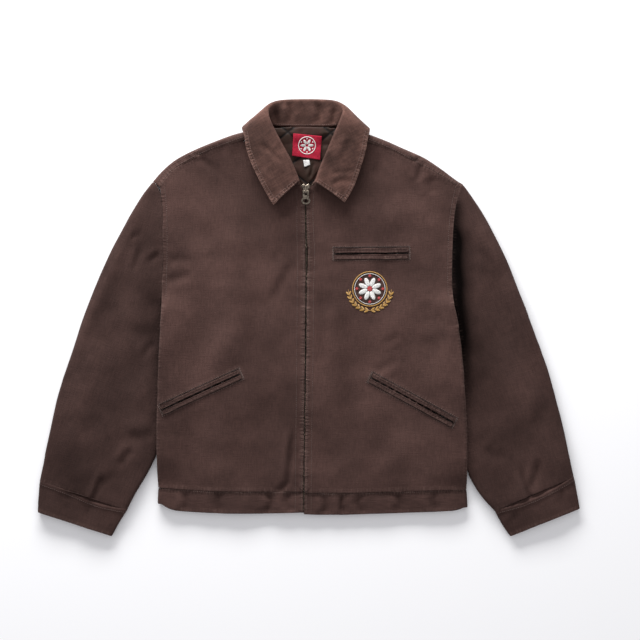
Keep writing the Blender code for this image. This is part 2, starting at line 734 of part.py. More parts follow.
def box(name, centre, size, material, bevel=0.0):
    x, y, z = centre
    bm = bmesh.new()
    bmesh.ops.create_cube(bm, size=1.0)
    bmesh.ops.scale(bm, vec=Vector(size) * MM, verts=bm.verts)
    bmesh.ops.translate(bm, vec=Vector((x, y, z)) * MM, verts=bm.verts)
    mesh = bpy.data.meshes.new(name)
    bm.to_mesh(mesh)
    bm.free()
    mesh.materials.append(material)
    part = bpy.data.objects.new(name, mesh)
    collection.objects.link(part)
    if bevel:
        edge = part.modifiers.new("softened edges", "BEVEL")
        edge.width = bevel * MM
        edge.segments = 2
    return part


def joined(part, tools, operation):
    for k, tool in enumerate(tools):
        cut = part.modifiers.new(f"{operation.lower()} {k}", "BOOLEAN")
        cut.operation = operation
        cut.solver = "EXACT"
        cut.object = tool
    bpy.context.view_layer.update()
    shaped = bpy.data.meshes.new_from_object(
        part.evaluated_get(bpy.context.evaluated_depsgraph_get()))
    shaped.name = part.name
    part.modifiers.clear()
    part.data = shaped
    for tool in tools:
        bpy.data.objects.remove(tool)
    return part


def principled(name, colour, roughness, metallic=0.0):
    material = bpy.data.materials.new(name)
    material.use_nodes = True
    shader = material.node_tree.nodes["Principled BSDF"]
    shader.inputs["Base Color"].default_value = (*colour, 1.0)
    shader.inputs["Roughness"].default_value = roughness
    shader.inputs["Metallic"].default_value = metallic
    material.diffuse_color = (*colour, 1.0)
    return material


# ---------------------------------------------------------------- build

for old in list(bpy.data.objects):
    bpy.data.objects.remove(old)
collection = bpy.data.collections.new("ranch_jacket")
bpy.context.scene.collection.children.link(collection)

canvas = principled("canvas", (0.078, 0.044, 0.037), 0.92)
collar_canvas = principled("collar_canvas", (0.118, 0.062, 0.050), 0.92)
lining_cloth = principled("lining_cloth", (0.072, 0.046, 0.030), 0.75)
label_red = principled("label_red", (0.45, 0.010, 0.030), 0.6)
label_white = principled("label_white", (0.75, 0.74, 0.72), 0.7)
zip_cloth = principled("zip_cloth", (0.045, 0.026, 0.022), 0.85)
zip_metal = principled("zip_metal", (0.30, 0.22, 0.14), 0.35, 1.0)

back = back_panel(canvas)
front_right = front_panel("front_right", FRONT_RIGHT, FOLDS_RIGHT, canvas)
front_left = front_panel("front_left", FRONT_LEFT, FOLDS_LEFT, canvas)
yoke("yoke_right", YOKE_RIGHT, YOKE_STEP_RIGHT, -1, "front_right", canvas)
yoke("yoke_left", YOKE_LEFT, YOKE_STEP_LEFT, 1, "front_left", canvas)
sleeve("sleeve_right", SLEEVE_RIGHT, ARMHOLE_RIGHT, FOLDS_SLEEVE_RIGHT, -1, canvas)
sleeve("sleeve_left", SLEEVE_LEFT, ARMHOLE_LEFT, FOLDS_SLEEVE_LEFT, 1, canvas)
cuff("cuff_right", CUFF_RIGHT, canvas)
cuff("cuff_left", CUFF_LEFT, canvas)

band("hem_band_right", [(-10, -299), (-90, -299.2), (-169, -298.4), (-259, -293)],
     [(-10, -335), (-90, -337), (-171, -336), (-240, -331), (-260, -320)], -1, True, canvas)
band("hem_band_left", [(-6, -301.2), (80, -301.2), (140, -299.3), (272, -295.5)],
     [(-7, -338), (54, -339), (150, -336), (266, -331.5), (274, -326)], 1, True, canvas)
band("hem_band_back", [(-259, -293), (-169, -298), (-8, -300.5), (140, -299), (272, -295.5)],
     [(-260, -320), (-240, -330), (-171, -334), (54, -336), (266, -331), (274, -326)],
     1, False, canvas, both=True)

collar(collar_canvas)

# Lining showing inside the neck, label and size tab on it
back_top = surface_of(back)


def over_back(x, y, extra=0.3):
    reach = (-5, 0, 5)
    return max(back_top(x + dx, y + dy) or 0 for dx in reach for dy in reach) + extra


NECK_LINING = [(-58, 322), (49, 322), (3, 228), (-11, 228)]
patch("lining_back", NECK_LINING, over_back, 1.2, lining_cloth, (6, 9))
patch("neck_label", NECK_LABEL, lambda x, y: over_back(x, y) + 1.6, 0.8, label_red)
patch("size_tab", SIZE_TAB, lambda x, y: over_back(x, y) + 1.6, 0.6, label_white, (2, 2))

# Pocket welts on the fronts
tops = {"front_right": surface_of(front_right), "front_left": surface_of(front_left)}
for name, x0, y0, x1, y1, width in POCKETS:
    top = tops["front_right"] if x0 < 0 else tops["front_left"]
    draped_strip(name + "_upper", top, (x0, y0), (x1, y1), 0.7, width, canvas)
    draped_strip(name + "_lower", top, (x0, y0), (x1, y1), -0.7 - width, width, canvas)

# Zip: tapes and chain between the fronts' edges
CHAIN = [(-8, -334), (-7, -210), (-6, -141), (-4.5, -21), (-4, 60), (-4, 108), (-5, 177), (-4.5, 212)]


def ribbon(name, shift, half_width, low, thickness, y_from, y_to, material):
    outer, inner = [], []
    for k in range(13):
        y = mix(y_from, y_to, k / 12)
        x = tuck_edge([(b, a) for a, b in CHAIN], y) + shift
        outer.append([(x - half_width, y, low + thickness), (x + half_width, y, low + thickness)])
        inner.append([(x - half_width, y, low), (x + half_width, y, low)])
    return wall(name, outer, inner, material)


ribbon("zip_tape_right", -4.6, 4.2, 5.4, 0.8, -296, 226, zip_cloth)
ribbon("zip_tape_left", 4.6, 4.2, 5.4, 0.8, -296, 226, zip_cloth)
ribbon("zip_chain", 0.0, 0.9, 6.5, 2.4, -333, 222, zip_metal)

# Slider: body on the chain, bridge over it, hanging pull tab
slider_y = 221.5
slider_z = 14.6
slider = box("zip_slider", (-4.5, slider_y, slider_z), (SLIDER_WIDTH, SLIDER_LENGTH, 3.6),
             zip_metal, bevel=1.2)
bridge = box("bridge", (-4.5, 220.5, slider_z + 3.4), (2.6, 13.0, 5.4), zip_metal)
joined(slider, [bridge], "UNION")
window = box("window", (-4.5, 220.4, slider_z + 3.3), (6.0, 9.4, 3.0), zip_metal)
joined(slider, [window], "DIFFERENCE")

bar_y, bar_z = 217.4, slider_z + 3.3
pull = box("zip_pull", (-4.5, bar_y + BAR_TO_TOP - PULL_LENGTH / 2, bar_z),
           (12.0, PULL_LENGTH, 1.8), zip_metal, bevel=0.5)
slot = box("slot", (-4.5, bar_y - 3.9, bar_z), (5.0, 6.0, 6.0), zip_metal)
hole = box("hole", (-4.5, bar_y - 15.5, bar_z), (8.0, 6.0, 6.0), zip_metal)
joined(pull, [slot, hole], "DIFFERENCE")
# its origin is the bar it swings on; it hangs until its end rests on the fronts
pull.data.transform(Matrix.Translation(Vector((4.5, -bar_y, -bar_z)) * MM))
pull.data.transform(Matrix.Rotation(math.radians(PULL_TILT), 4, "X"))
pull.location = Vector((-4.5, bar_y, bar_z)) * MM
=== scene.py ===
import math

import bpy
import numpy as np
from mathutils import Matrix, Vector
from mathutils.bvhtree import BVHTree


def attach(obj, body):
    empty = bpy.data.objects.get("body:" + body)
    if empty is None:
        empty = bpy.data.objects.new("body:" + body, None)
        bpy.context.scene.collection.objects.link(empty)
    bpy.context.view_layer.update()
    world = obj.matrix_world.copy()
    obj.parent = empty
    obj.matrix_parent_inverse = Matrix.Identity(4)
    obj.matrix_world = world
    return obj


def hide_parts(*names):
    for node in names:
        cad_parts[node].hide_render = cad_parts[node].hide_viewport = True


# The jacket as it lies: +X to the wearer's left sleeve, +Y to the collar, +Z up.
# Tables are in millimetres in the frame's own axes. "right" and "left" are the wearer's.

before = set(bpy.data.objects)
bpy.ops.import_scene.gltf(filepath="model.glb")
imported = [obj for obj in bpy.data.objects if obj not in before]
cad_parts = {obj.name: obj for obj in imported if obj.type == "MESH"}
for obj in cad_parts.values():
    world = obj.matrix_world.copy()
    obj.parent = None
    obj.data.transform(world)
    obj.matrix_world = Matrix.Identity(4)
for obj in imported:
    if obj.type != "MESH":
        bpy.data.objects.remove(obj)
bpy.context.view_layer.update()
mm = 0.001
print("frame loaded with", len(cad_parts), "nodes")

view = {
    "middle": (19.8, -3.4),     # what the camera looks straight down at
    "height": 2608.0,
    "lens": 85.0,
}
cameraData = bpy.data.cameras.new("camera")
cameraData.lens = view["lens"]
cameraData.clip_end = 20
camera = bpy.data.objects.new("camera", cameraData)
camera.location = (view["middle"][0] * mm, view["middle"][1] * mm, view["height"] * mm)
bpy.context.scene.collection.objects.link(camera)
bpy.context.scene.camera = camera
bpy.context.scene.view_settings.view_transform = "Standard"

light = {
    "sky": 0.60,
    "skyColour": (0.99, 0.985, 1.02, 1.0),
    "key": {"place": (-0.55, 2.3, 0.68), "size": (2.2, 0.60), "power": 158.0},
}
world = bpy.data.worlds.new("studio")
world.use_nodes = True
world.node_tree.nodes["Background"].inputs["Color"].default_value = light["skyColour"]
world.node_tree.nodes["Background"].inputs["Strength"].default_value = light["sky"]
bpy.context.scene.world = world


def softLight(name, values):
    data = bpy.data.lights.new(name, "AREA")
    data.shape = "RECTANGLE"
    data.size, data.size_y = values["size"]
    data.energy = values["power"]
    lamp = bpy.data.objects.new(name, data)
    lamp.location = values["place"]
    lamp.rotation_euler = (-Vector(values["place"])).to_track_quat("-Z", "Y").to_euler()
    bpy.context.scene.collection.objects.link(lamp)


softLight("keyLight", light["key"])


def onlySelect(piece):
    bpy.ops.object.select_all(action="DESELECT")
    piece.select_set(True)
    bpy.context.view_layer.objects.active = piece


def applyModifier(piece, kind, **values):
    modifier = piece.modifiers.new(kind.lower(), kind)
    for key, value in values.items():
        setattr(modifier, key, value)
    onlySelect(piece)
    bpy.ops.object.modifier_apply(modifier=modifier.name)


def newPiece(name, points, faces):
    mesh = bpy.data.meshes.new(name)
    mesh.from_pydata(points * mm, [], faces)
    piece = bpy.data.objects.new(name, mesh)
    bpy.context.scene.collection.objects.link(piece)
    return piece


def markPoints(piece, name, values):        # a value at each point, which a material can read
    mark = piece.data.attributes.new(name, "FLOAT", "POINT")
    mark.data.foreach_set("value", values.astype(np.float32))


def readPoints(piece):
    points = np.empty(len(piece.data.vertices) * 3, np.float32)
    piece.data.vertices.foreach_get("co", points)
    return points.reshape(-1, 3).astype(float) / mm


def writePoints(piece, points):
    piece.data.vertices.foreach_set("co", (points * mm).astype(np.float32).ravel())
    piece.data.update()


def readNormals(piece):
    normals = np.empty(len(piece.data.vertices) * 3, np.float32)
    piece.data.vertices.foreach_get("normal", normals)
    return normals.reshape(-1, 3).astype(float)


def smoothStep(t):
    t = np.clip(t, 0.0, 1.0)
    return t * t * (3 - 2 * t)


def treeOf(piece):
    faces = [tuple(polygon.vertices) for polygon in piece.data.polygons]
    return BVHTree.FromPolygons([Vector(p) for p in readPoints(piece)], faces)


def topOf(piece):
    tree = treeOf(piece)

    def top(x, y):      # height of the piece's upper face, in mm
        hit = tree.ray_cast(Vector((x, y, 200.0)), Vector((0, 0, -1)))
        return hit[0].z if hit[0] is not None else None

    return top


def finish(piece, body, slot, material, *nodes):
    piece.data.materials.clear()
    piece.data.materials.append(material)
    onlySelect(piece)
    bpy.ops.object.shade_smooth()
    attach(piece, body)
    if nodes:
        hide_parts(*nodes)
    print("made", piece.name, len(piece.data.polygons), "faces")
    return piece


def halfSurface(piece):     # square metres of cloth in a closed wall
    return sum(polygon.area for polygon in piece.data.polygons) / 2


def layCloth(piece, area):
    print("  cloth", piece.name, "laid area %.4f, cut %.4f" % (halfSurface(piece), area))


def easedLine(rows, step=8.0):
    rows = np.array(rows, float)
    points = []
    for i in range(len(rows) - 1):
        a, b, c = rows[max(i - 1, 0)], rows[i], rows[i + 1]
        d = rows[min(i + 2, len(rows) - 1)]
        count = max(1, int(np.linalg.norm(c - b) / step))
        for f in np.arange(count) / count:
            m0, m1, f2, f3 = (c - a) / 2, (d - b) / 2, f * f, f * f * f
            points.append(b * (2 * f3 - 3 * f2 + 1) + m0 * (f3 - 2 * f2 + f)
                          + c * (3 * f2 - 2 * f3) + m1 * (f3 - f2))
    return np.array(points + [rows[-1]])


def offsetLine(path, distance):     # to the left of the way it runs
    path = np.array(path, float)
    steps = np.diff(path, axis=0)
    steps /= np.linalg.norm(steps, axis=1)[:, None]
    left = np.stack([-steps[:, 1], steps[:, 0]], axis=1)
    both = np.concatenate([left[:1], left[:-1] + left[1:], left[-1:]])
    both[1:-1] /= np.maximum(1.0 + (left[:-1] * left[1:]).sum(1), 0.4)[:, None]
    return path + both * distance


def along(path, pitch):     # middles and directions of equal steps
    path = np.array(path, float)
    lengths = np.linalg.norm(np.diff(path, axis=0), axis=1)
    run = np.concatenate([[0.0], np.cumsum(lengths)])
    count = max(1, int(run[-1] / pitch))
    at = (np.arange(count) + 0.5) * run[-1] / count
    points = np.stack([np.interp(at, run, path[:, k]) for k in range(path.shape[1])], axis=1)
    ahead = np.stack([np.interp(at + 0.6, run, path[:, k]) for k in range(path.shape[1])], axis=1)
    behind = np.stack([np.interp(at - 0.6, run, path[:, k]) for k in range(path.shape[1])], axis=1)
    way = ahead - behind
    return points, way / np.linalg.norm(way, axis=1)[:, None]


def nearLine(path, x, y):       # distance with its side, and how far along, of each point
    path = np.array(path, float)
    away, run = np.full(len(x), 1e6), np.zeros(len(x))
    start = 0.0
    for (ax, ay), (bx, by) in zip(path[:-1], path[1:]):
        dx, dy = bx - ax, by - ay
        length = math.hypot(dx, dy)
        t = np.clip(((x - ax) * dx + (y - ay) * dy) / length ** 2, 0.0, 1.0)
        distance = np.hypot(x - ax - t * dx, y - ay - t * dy)
        side = np.where((x - ax) * dy - (y - ay) * dx >= 0, 1.0, -1.0)
        closer = distance < np.abs(away)
        away = np.where(closer, distance * side, away)
        run = np.where(closer, start + t * length, run)
        start += length
    return away, run, start


def softNoise(x, y, size, seed):        # smooth bumps of one size, from -1 to 1
    lattice = np.random.default_rng(seed).uniform(-1, 1, (128, 128))
    turn = 0.5 + seed
    gx = (x * math.cos(turn) - y * math.sin(turn)) / size + 64
    gy = (x * math.sin(turn) + y * math.cos(turn)) / size + 64
    i, j = np.floor(gx).astype(int) % 127, np.floor(gy).astype(int) % 127
    u, v = smoothStep(gx - np.floor(gx)), smoothStep(gy - np.floor(gy))
    low = lattice[i, j] * (1 - u) + lattice[i + 1, j] * u
    high = lattice[i, j + 1] * (1 - u) + lattice[i + 1, j + 1] * u
    return low * (1 - v) + high * v


def creaseHeight(creases, x, y):
    total = np.zeros(len(x))
    for path, width, height in creases:
        away, run, length = nearLine(path, x, y)
        ends = smoothStep(run / (0.3 * length)) * smoothStep((length - run) / (0.3 * length))
        uneven = 1.0 + 0.12 * np.sin(run / (0.13 * length) + length)
        t = away / width
        profile = np.exp(-t ** 2) - 0.5 * np.exp(-((t - 1.9) ** 2) / 1.4)
        total += height * ends * uneven * profile
    return total


# Lines on the cloth as it lies: up from the hem, out from the zip, in along the cuffs.

rightSide = {
    "zip": easedLine([(-10, -334), (-9, -210), (-8, -141), (-7, -21), (-6, 83), (-7, 151), (-7, 222)]),
    "hem": easedLine([(-10, -298), (-90, -298), (-169, -297), (-259, -291)]),
    "side": easedLine([(-259, -291), (-261, -210), (-257, -55), (-252.5, 8), (-251, 65), (-250, 126),
                       (-250.5, 180), (-254, 224)]),
    "shoulder": easedLine([(-91, 315), (-110, 309), (-130, 302), (-155, 293), (-180, 283),
                           (-208, 269.5), (-230, 256), (-243, 243), (-254, 224)]),
    "pleat": np.array([(-206, 291), (-188, 283)]),
    "yokeEnd": [(-254, 224), (-268, 236)],
    "cuff": easedLine([(-463, -280), (-412, -299), (-364, -319), (-312, -330)]),
    "cuffEdge": easedLine([(-467, -334), (-338, -376)]),
    "bandEnd": np.array([(-10, -298), (-10, -336)]),
    "bandEdge": easedLine([(-10, -336), (-90, -338), (-260, -330)]),
    "leaf": [(-17, 231), (-42, 210), (-60, 193), (-79, 225), (-95, 257), (-106, 287), (-110, 308),
             (-112, 318)],
}
leftSide = {
    "zip": easedLine([(-6, -336), (-5, -210), (-4, -141), (-2, -21), (-2, 48), (0, 108), (-3, 177),
                      (-1, 222)]),
    "hem": easedLine([(-6, -300), (80, -300), (140, -298), (272, -294)]),
    "side": easedLine([(272, -294), (273, -208), (269, -132), (264, -60), (256, -8), (248.5, 30),
                       (246, 65), (247, 126), (251, 180), (260, 225)]),
    "shoulder": easedLine([(82, 312.5), (99, 306), (130, 294), (157, 281.5), (190, 264), (212, 252.5),
                           (231, 242), (248, 232), (260, 225)]),
    "pleat": np.array([(197, 286), (180, 274)]),
    "yokeEnd": [(260, 225), (266, 230)],
    "cuff": easedLine([(457, -273), (430, -289), (376, -315), (320, -332)]),
    "cuffEdge": easedLine([(468, -328), (347, -376)]),
    "bandEnd": np.array([(-6, -300), (-6, -339)]),
    "bandEdge": easedLine([(-6, -339), (80, -340), (274, -331)]),
    "leaf": [(13, 231), (43, 211), (62, 198), (77, 221), (88, 252), (98, 284), (102, 308), (105, 318)],
}
sides = {"right": rightSide, "left": leftSide}
for lines in sides.values():
    lines["armhole"] = lines["side"][lines["side"][:, 1] > -20]
    lines["armholeTop"] = lines["side"][lines["side"][:, 1] > 30]

pockets = {
    "handRight": {"slit": ((-251, -157), (-118, -96.5)), "reach": 9.2,
                  "welt": "hand_welt_right", "on": "frontRight"},
    "handLeft": {"slit": ((107.5, -102.5), (248, -179)), "reach": 9.2,
                 "welt": "hand_welt_left", "on": "frontLeft"},
    "chest": {"slit": ((45, 110.4), (171, 111.6)), "reach": 10.2,
              "welt": "chest_welt", "on": "frontLeft"},
}


def pocketFrame(values, extra=0.0):
    start, end = np.array(values["slit"], float)
    ahead = (end - start) / np.linalg.norm(end - start)
    left = np.array((-ahead[1], ahead[0]))
    reach = values["reach"] + extra
    corners = [start - ahead * (2 + extra) + left * reach, end + ahead * (2 + extra) + left * reach,
               end + ahead * (2 + extra) - left * reach, start - ahead * (2 + extra) - left * reach]
    return np.array(corners + corners[:1])


# Seams are gathered a little, puckered and worn pale. Strength is how much of that each one shows.

seamStrengths = {
    "front": {"zip": 1.05, "hem": 0.45, "side": 0.6, "shoulder": 0.5},
    "yoke": {"shoulder": 0.9, "pleat": 0.9},
    "hem_band": {"hem": 1.0, "zip": 0.8, "bandEdge": 0.5},
    "sleeve": {"side": 0.3, "cuff": 0.4},
    "cuff": {"cuff": 0.2, "cuffEdge": 0.6},
}
seams = {
    "hem_band_back": [(easedLine([(-259, -293), (-8, -300), (272, -295)]), 0.8)],
    "back": [(rightSide["side"], 0.4), (leftSide["side"], 0.4), (rightSide["shoulder"] - (0, 4), 0.8),
             (leftSide["shoulder"] - (0, 4), 0.8), (easedLine([(-259, -291), (-8, -299), (272, -294)]), 0.8)],
    "collar": [(rightSide["leaf"], 1.0), (leftSide["leaf"], 1.0)],
}
for side, lines in sides.items():
    for part, strengths in seamStrengths.items():
        seams[part + "_" + side] = [(lines[seam], strength) for seam, strength in strengths.items()]
seams["front_right"].append((pocketFrame(pockets["handRight"]), 0.45))
seams["front_left"] += [(pocketFrame(pockets["handLeft"]), 0.45), (pocketFrame(pockets["chest"]), 0.4)]


def markSeams(piece, lines):        # stores run, distance and strength of the nearest seam
    points = readPoints(piece)
    x, y = points[:, 0], points[:, 1]
    place = np.zeros((len(x), 3))
    place[:, 1] = 1e3
    before = 0.0
    for path, strength in lines:
        away, run, length = nearLine(path, x, y)
        away = np.abs(away)
        closer = away < place[:, 1]
        place[closer] = np.stack([run + before, away, np.full(len(x), strength / mm)], axis=1)[closer]
        before += length + 40
    seam = piece.data.attributes.new("seam", "FLOAT_VECTOR", "POINT")
    seam.data.foreach_set("vector", (place * mm).astype(np.float32).ravel())
    return place


# Main creases, placed as they lie.
# columns: path, half width, height (a trough is below 0, with a ridge beside it)

bodyCreases = [
    # wearer's right front
    ([(-254, 62), (-228, 68), (-196, 78)], 8, -0.9),
    ([(-246, 96), (-222, 101), (-196, 98)], 7, -0.8),
    ([(-20, 108), (-40, 70), (-70, 18)], 9, -1.1),
    ([(-106, 112), (-102, 20), (-101, -92)], 20, -1.5),
    ([(-24, -180), (-31, -232), (-36, -283), (-46, -294), (-70, -299)], 5, -1.8),
    ([(-116, 4), (-168, -92), (-222, -194)], 26, 1.6),
    ([(-60, -110), (-96, -190), (-150, -262)], 24, -1.2),
    ([(-228, 190), (-196, 150), (-150, 128)], 18, -1.0),
    # wearer's left front
    ([(128, -44), (142, -37), (156, -28)], 5, -1.1),
    ([(108, -92), (130, -84), (156, -68)], 6, -1.1),
    ([(64, 56), (60, -80), (66, -214)], 18, -1.5),
    ([(195, 270), (191, 252), (187, 232)], 5, -1.0),
    ([(214, 246), (210, 230), (214, 210)], 9, -1.2),
    ([(216, 190), (170, 176), (118, 170)], 22, 1.2),
    ([(196, -186), (150, -240), (104, -276)], 22, 1.3),
    ([(20, 60), (26, -10), (22, -90)], 9, -0.8),
    ([(244, -20), (214, -44), (186, -52)], 12, -0.9),
    # across the shoulders
    ([(-190, 280), (-170, 262), (-150, 252)], 6, -0.8),
    ([(-208, 289), (-196, 285), (-184, 279)], 2.4, -1.9),
    ([(199, 284), (188, 277), (177, 268)], 2.4, -1.9),
    ([(-128, 296), (-124, 270), (-128, 244)], 9, -0.7),
    ([(112, 290), (118, 266), (110, 240)], 10, -0.7),
]
bandCreases = [
    ([(-214, -294), (-210, -314), (-214, -336)], 6, -0.8),
    ([(-152, -296), (-158, -316), (-150, -338)], 8, -0.7),
    ([(-72, -298), (-64, -316), (-74, -338)], 5, -0.9),
    ([(-34, -296), (-38, -316), (-30, -338)], 6, -0.8),
    ([(24, -302), (30, -320), (26, -340)], 5, -0.8),
    ([(58, -300), (56, -320), (60, -340)], 4, -1.3),
    ([(92, -300), (84, -318), (96, -340)], 6, -0.8),
    ([(150, -298), (158, -318), (148, -338)], 7, -0.7),
    ([(220, -296), (214, -314), (222, -334)], 6, -0.8),
]
sleeveCreases = [
    # wearer's right
    ([(-276, 214), (-330, 100), (-386, -24), (-420, -130)], 11, 1.5),
    ([(-308, 137), (-297, 142), (-284, 145)], 4, -1.1),
    ([(-289, 124), (-294, 102), (-300, 80)], 5, -1.3),
    ([(-252, 113), (-266, 104), (-282, 93)], 5, -1.2),
    ([(-262, -38), (-276, -54), (-288, -72)], 6, -1.3),
    ([(-300, -222), (-314, -238), (-328, -256)], 6, -1.5),
    ([(-272, 52), (-274, -12), (-280, -74)], 15, -1.8),
    ([(-354, -10), (-392, -130), (-420, -262)], 26, 1.3),
    ([(-262, -196), (-292, -206), (-318, -200)], 9, -1.3),
    ([(-352, -160), (-372, -190), (-400, -204)], 14, -0.9),
    ([(-330, 30), (-352, 4), (-380, -8)], 12, -0.8),
    ([(-352, -264), (-361, -290), (-379, -328), (-386, -352)], 4, -2.1),
    ([(-340, -318), (-350, -332), (-356, -350)], 4, -1.2),
    ([(-420, -296), (-424, -316), (-416, -336)], 7, -1.1),
    ([(-328, -262), (-350, -282), (-372, -290)], 7, -1.0),
    # wearer's left
    ([(280, 190), (336, 76), (386, -44)], 15, 1.5),
    ([(330, 62), (352, -80), (376, -214)], 26, 1.4),
    ([(258, 236), (258, 120), (265, 10), (271, -80), (274, -190)], 10, -2.4),
    ([(362, -250), (374, -292), (390, -326), (396, -346)], 5, -2.0),
    ([(398, -240), (388, -276), (378, -300)], 6, -1.6),
    ([(428, -284), (434, -304), (428, -326)], 6, -1.2),
    ([(346, -318), (354, -336), (352, -356)], 5, -1.1),
    ([(300, -222), (322, -236), (346, -236)], 10, -1.0),
    ([(420, -140), (400, -164), (388, -196)], 12, -0.9),
    ([(288, 120), (304, 106), (318, 84)], 8, -0.8),
]
backCreases = [     # the side it lies on has its own
    ([(-180, 160), (-120, 60), (-96, -60)], 22, 1.8),
    ([(170, 170), (120, 60), (110, -80)], 20, 1.6),
    ([(-40, -120), (-60, -220), (-30, -280)], 12, 1.3),
    ([(60, -60), (90, -170), (70, -270)], 16, 1.4),
    ([(-210, -60), (-180, -110), (-130, -130)], 10, 1.2),
    ([(210, -20), (180, -60), (140, -80)], 10, 1.2),
    ([(-330, 90), (-350, 10), (-380, -60)], 14, 1.5),
    ([(330, 70), (350, -40), (390, -140)], 14, 1.5),
    ([(-300, -200), (-340, -230), (-390, -230)], 9, 1.3),
    ([(320, -210), (350, -230), (400, -220)], 9, 1.3),
]


def rumple(x, y, share=1.0):
    bumps = ((1.9, 88, 3), (1.4, 37, 5), (0.40, 15, 8))     # height, size and seed of each
    return share * sum(height * softNoise(x, y, size, seed) for height, size, seed in bumps)


lipMoves = {
    # cut edges that meet at a seam: how far they move across and up on the wearer's right,
    # and how far in that reaches
    "front": {"zip": (1.3, 0, 5), "hem": (0, -1.0, 4), "shoulder": (-0.4, 1.3, 6), "armhole": (-1.0, 0.1, 5)},
    "yoke": {"shoulder": (0.4, -1.3, 6), "yokeEnd": (-1.2, -0.3, 6)},
    "hem_band": {"hem": (0, 1.0, 4), "bandEnd": (1.3, 0, 5)},
    "sleeve": {"cuff": (-0.5, -1.3, 5), "armhole": (1.1, 0.1, 6), "yokeEnd": (1.1, 0.4, 6)},
    "cuff": {"cuff": (0.5, 1.3, 5)},
}
lips = {"back": [(rightSide["armhole"], (-1.0, 0.1), 5), (leftSide["armhole"], (1.0, 0.1), 5)]}
for side, lines in sides.items():
    mirror = 1 if side == "right" else -1
    for part, moves in lipMoves.items():
        lips[part + "_" + side] = [(lines[seam], (across * mirror, up), reach)
                                   for seam, (across, up, reach) in moves.items()]


def closeLips(piece, rows):
    points = readPoints(piece)
    for path, way, reach in rows:
        away = np.abs(nearLine(path, points[:, 0], points[:, 1])[0])
        share = smoothStep((reach - away) / reach)
        points[:, :2] += share[:, None] * np.array(way, float)
    writePoints(piece, points)


def openingShade(x, y):     # painted shade inside the pockets' slits and the zip's opening
    slits = np.min([np.abs(nearLine(values["slit"], x, y)[0]) for values in pockets.values()], axis=0)
    opening = np.min([np.abs(nearLine(lines["zip"], x, y)[0]) for lines in sides.values()], axis=0)
    return 2.5 * smoothStep((3.2 - slits) / 1.4) + 2.2 * smoothStep((1.3 - opening) / 1.1)


pocketTroughs = [([tuple(p) for p in values["slit"]], 1.7, -1.7) for values in pockets.values()]


def frontHeight(x, y):      # the cloth dips under the pocket's slit
    return np.clip(bodyHeight(x, y) + 2.0 * creaseHeight(pocketTroughs, x, y), -4.2, 5.0)


def bodyHeight(x, y):
    return np.clip(rumple(x, y, 0.9) + 1.6 * creaseHeight(bodyCreases, x, y)
                   + 3.6 * creaseHeight(bandCreases, x, y), -3.6, 5.0)


def cuffEase(x, y):     # evens out the step from a sleeve down to its cuff
    right, left = nearLine(rightSide["cuff"], x, y)[0], -nearLine(leftSide["cuff"], x, y)[0]
    below = np.where(np.abs(right) < np.abs(left), right, left)
    return np.where(below > 0, 1.7, -0.6) * smoothStep((12 - np.abs(below)) / 12)


def sleeveHeight(x, y):
    height = rumple(x + 900, y) + 1.6 * creaseHeight(sleeveCreases, x, y) + cuffEase(x, y)
    return np.clip(height, -3.4, 6.0)


def underHeight(x, y):      # only upwards, off the surface it lies on
    return np.clip(creaseHeight(backCreases, x, y) + rumple(x, y + 900, 0.5), 0.0, 3.0)


tucks = {       # along the body's sides, from the armholes down
    "left": [(255, 216), (250, 180), (247, 126), (247, 65), (249, 20), (258, -25), (268, -110), (272, -200)],
    "right": [(-251, 60), (-253, 0), (-257, -60), (-260, -150), (-260, -220)],
}


def tuckShade(x, y):    # painted shade in the deep folds where the sleeves go under the body
    left, run, length = nearLine(tucks["left"], x, y)
    ends = smoothStep(run / 24) * smoothStep((length - run) / 190)
    reach = np.clip(12 + 0.34 * run, 0, 40)     # the fold gets deeper down the arm, so the painted shade reaches further
    deep = ends * np.clip((reach + 6 * softNoise(x, y, 30, 71) - np.abs(left)) / reach, 0, 1)
    right, run, length = nearLine(tucks["right"], x, y)
    ends = smoothStep(run / 60) * smoothStep((length - run) / 90)
    return 2.7 * deep + 1.1 * ends * smoothStep((24 + 8 * softNoise(x, y, 30, 72) - np.abs(right)) / 24)


def gather(place):      # soft waves along a seam that its thread draws up
    run, away, strength = place[:, 0], place[:, 1], place[:, 2] * mm
    level = np.zeros(len(run))
    ripple = 0.7 * softNoise(run, level, 9.0, 21) + 0.7 * softNoise(run, level, 23.0, 22)
    return ripple * strength * np.exp(-away / 11.0)


def clothFrom(node, name, levels, rimRound=1.1):
    # the solid's own form, with its cut edges rounded and its faces smoothed
    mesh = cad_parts[node].data.copy()
    piece = bpy.data.objects.new(name, mesh)
    bpy.context.scene.collection.objects.link(piece)
    onlySelect(piece)
    bpy.ops.mesh.customdata_custom_splitnormals_clear()
    bpy.ops.object.mode_set(mode="EDIT")
    bpy.ops.mesh.select_mode(type="VERT")
    bpy.ops.mesh.select_all(action="SELECT")
    bpy.ops.mesh.remove_doubles(threshold=0.02 * mm)
    bpy.ops.mesh.tris_convert_to_quads(face_threshold=math.radians(40), shape_threshold=math.radians(80))
    bpy.ops.object.mode_set(mode="OBJECT")
    if rimRound:
        applyModifier(piece, "BEVEL", width=rimRound * mm, segments=2, limit_method="ANGLE",
                      angle_limit=math.radians(52), use_clamp_overlap=False)
    applyModifier(piece, "SUBSURF", levels=levels, render_levels=levels)
    return piece


def outside(piece):     # 1 on the wall's outer side, 0 in the hollow it closes round
    tree = treeOf(piece)
    share = np.ones(len(piece.data.vertices))
    points, normals = readPoints(piece), readNormals(piece)
    for k, (p, n) in enumerate(zip(points, normals)):
        if tree.ray_cast(Vector(p + n * 0.4), Vector(n), 12.0)[0] is not None:
            share[k] = 0.0
    return share


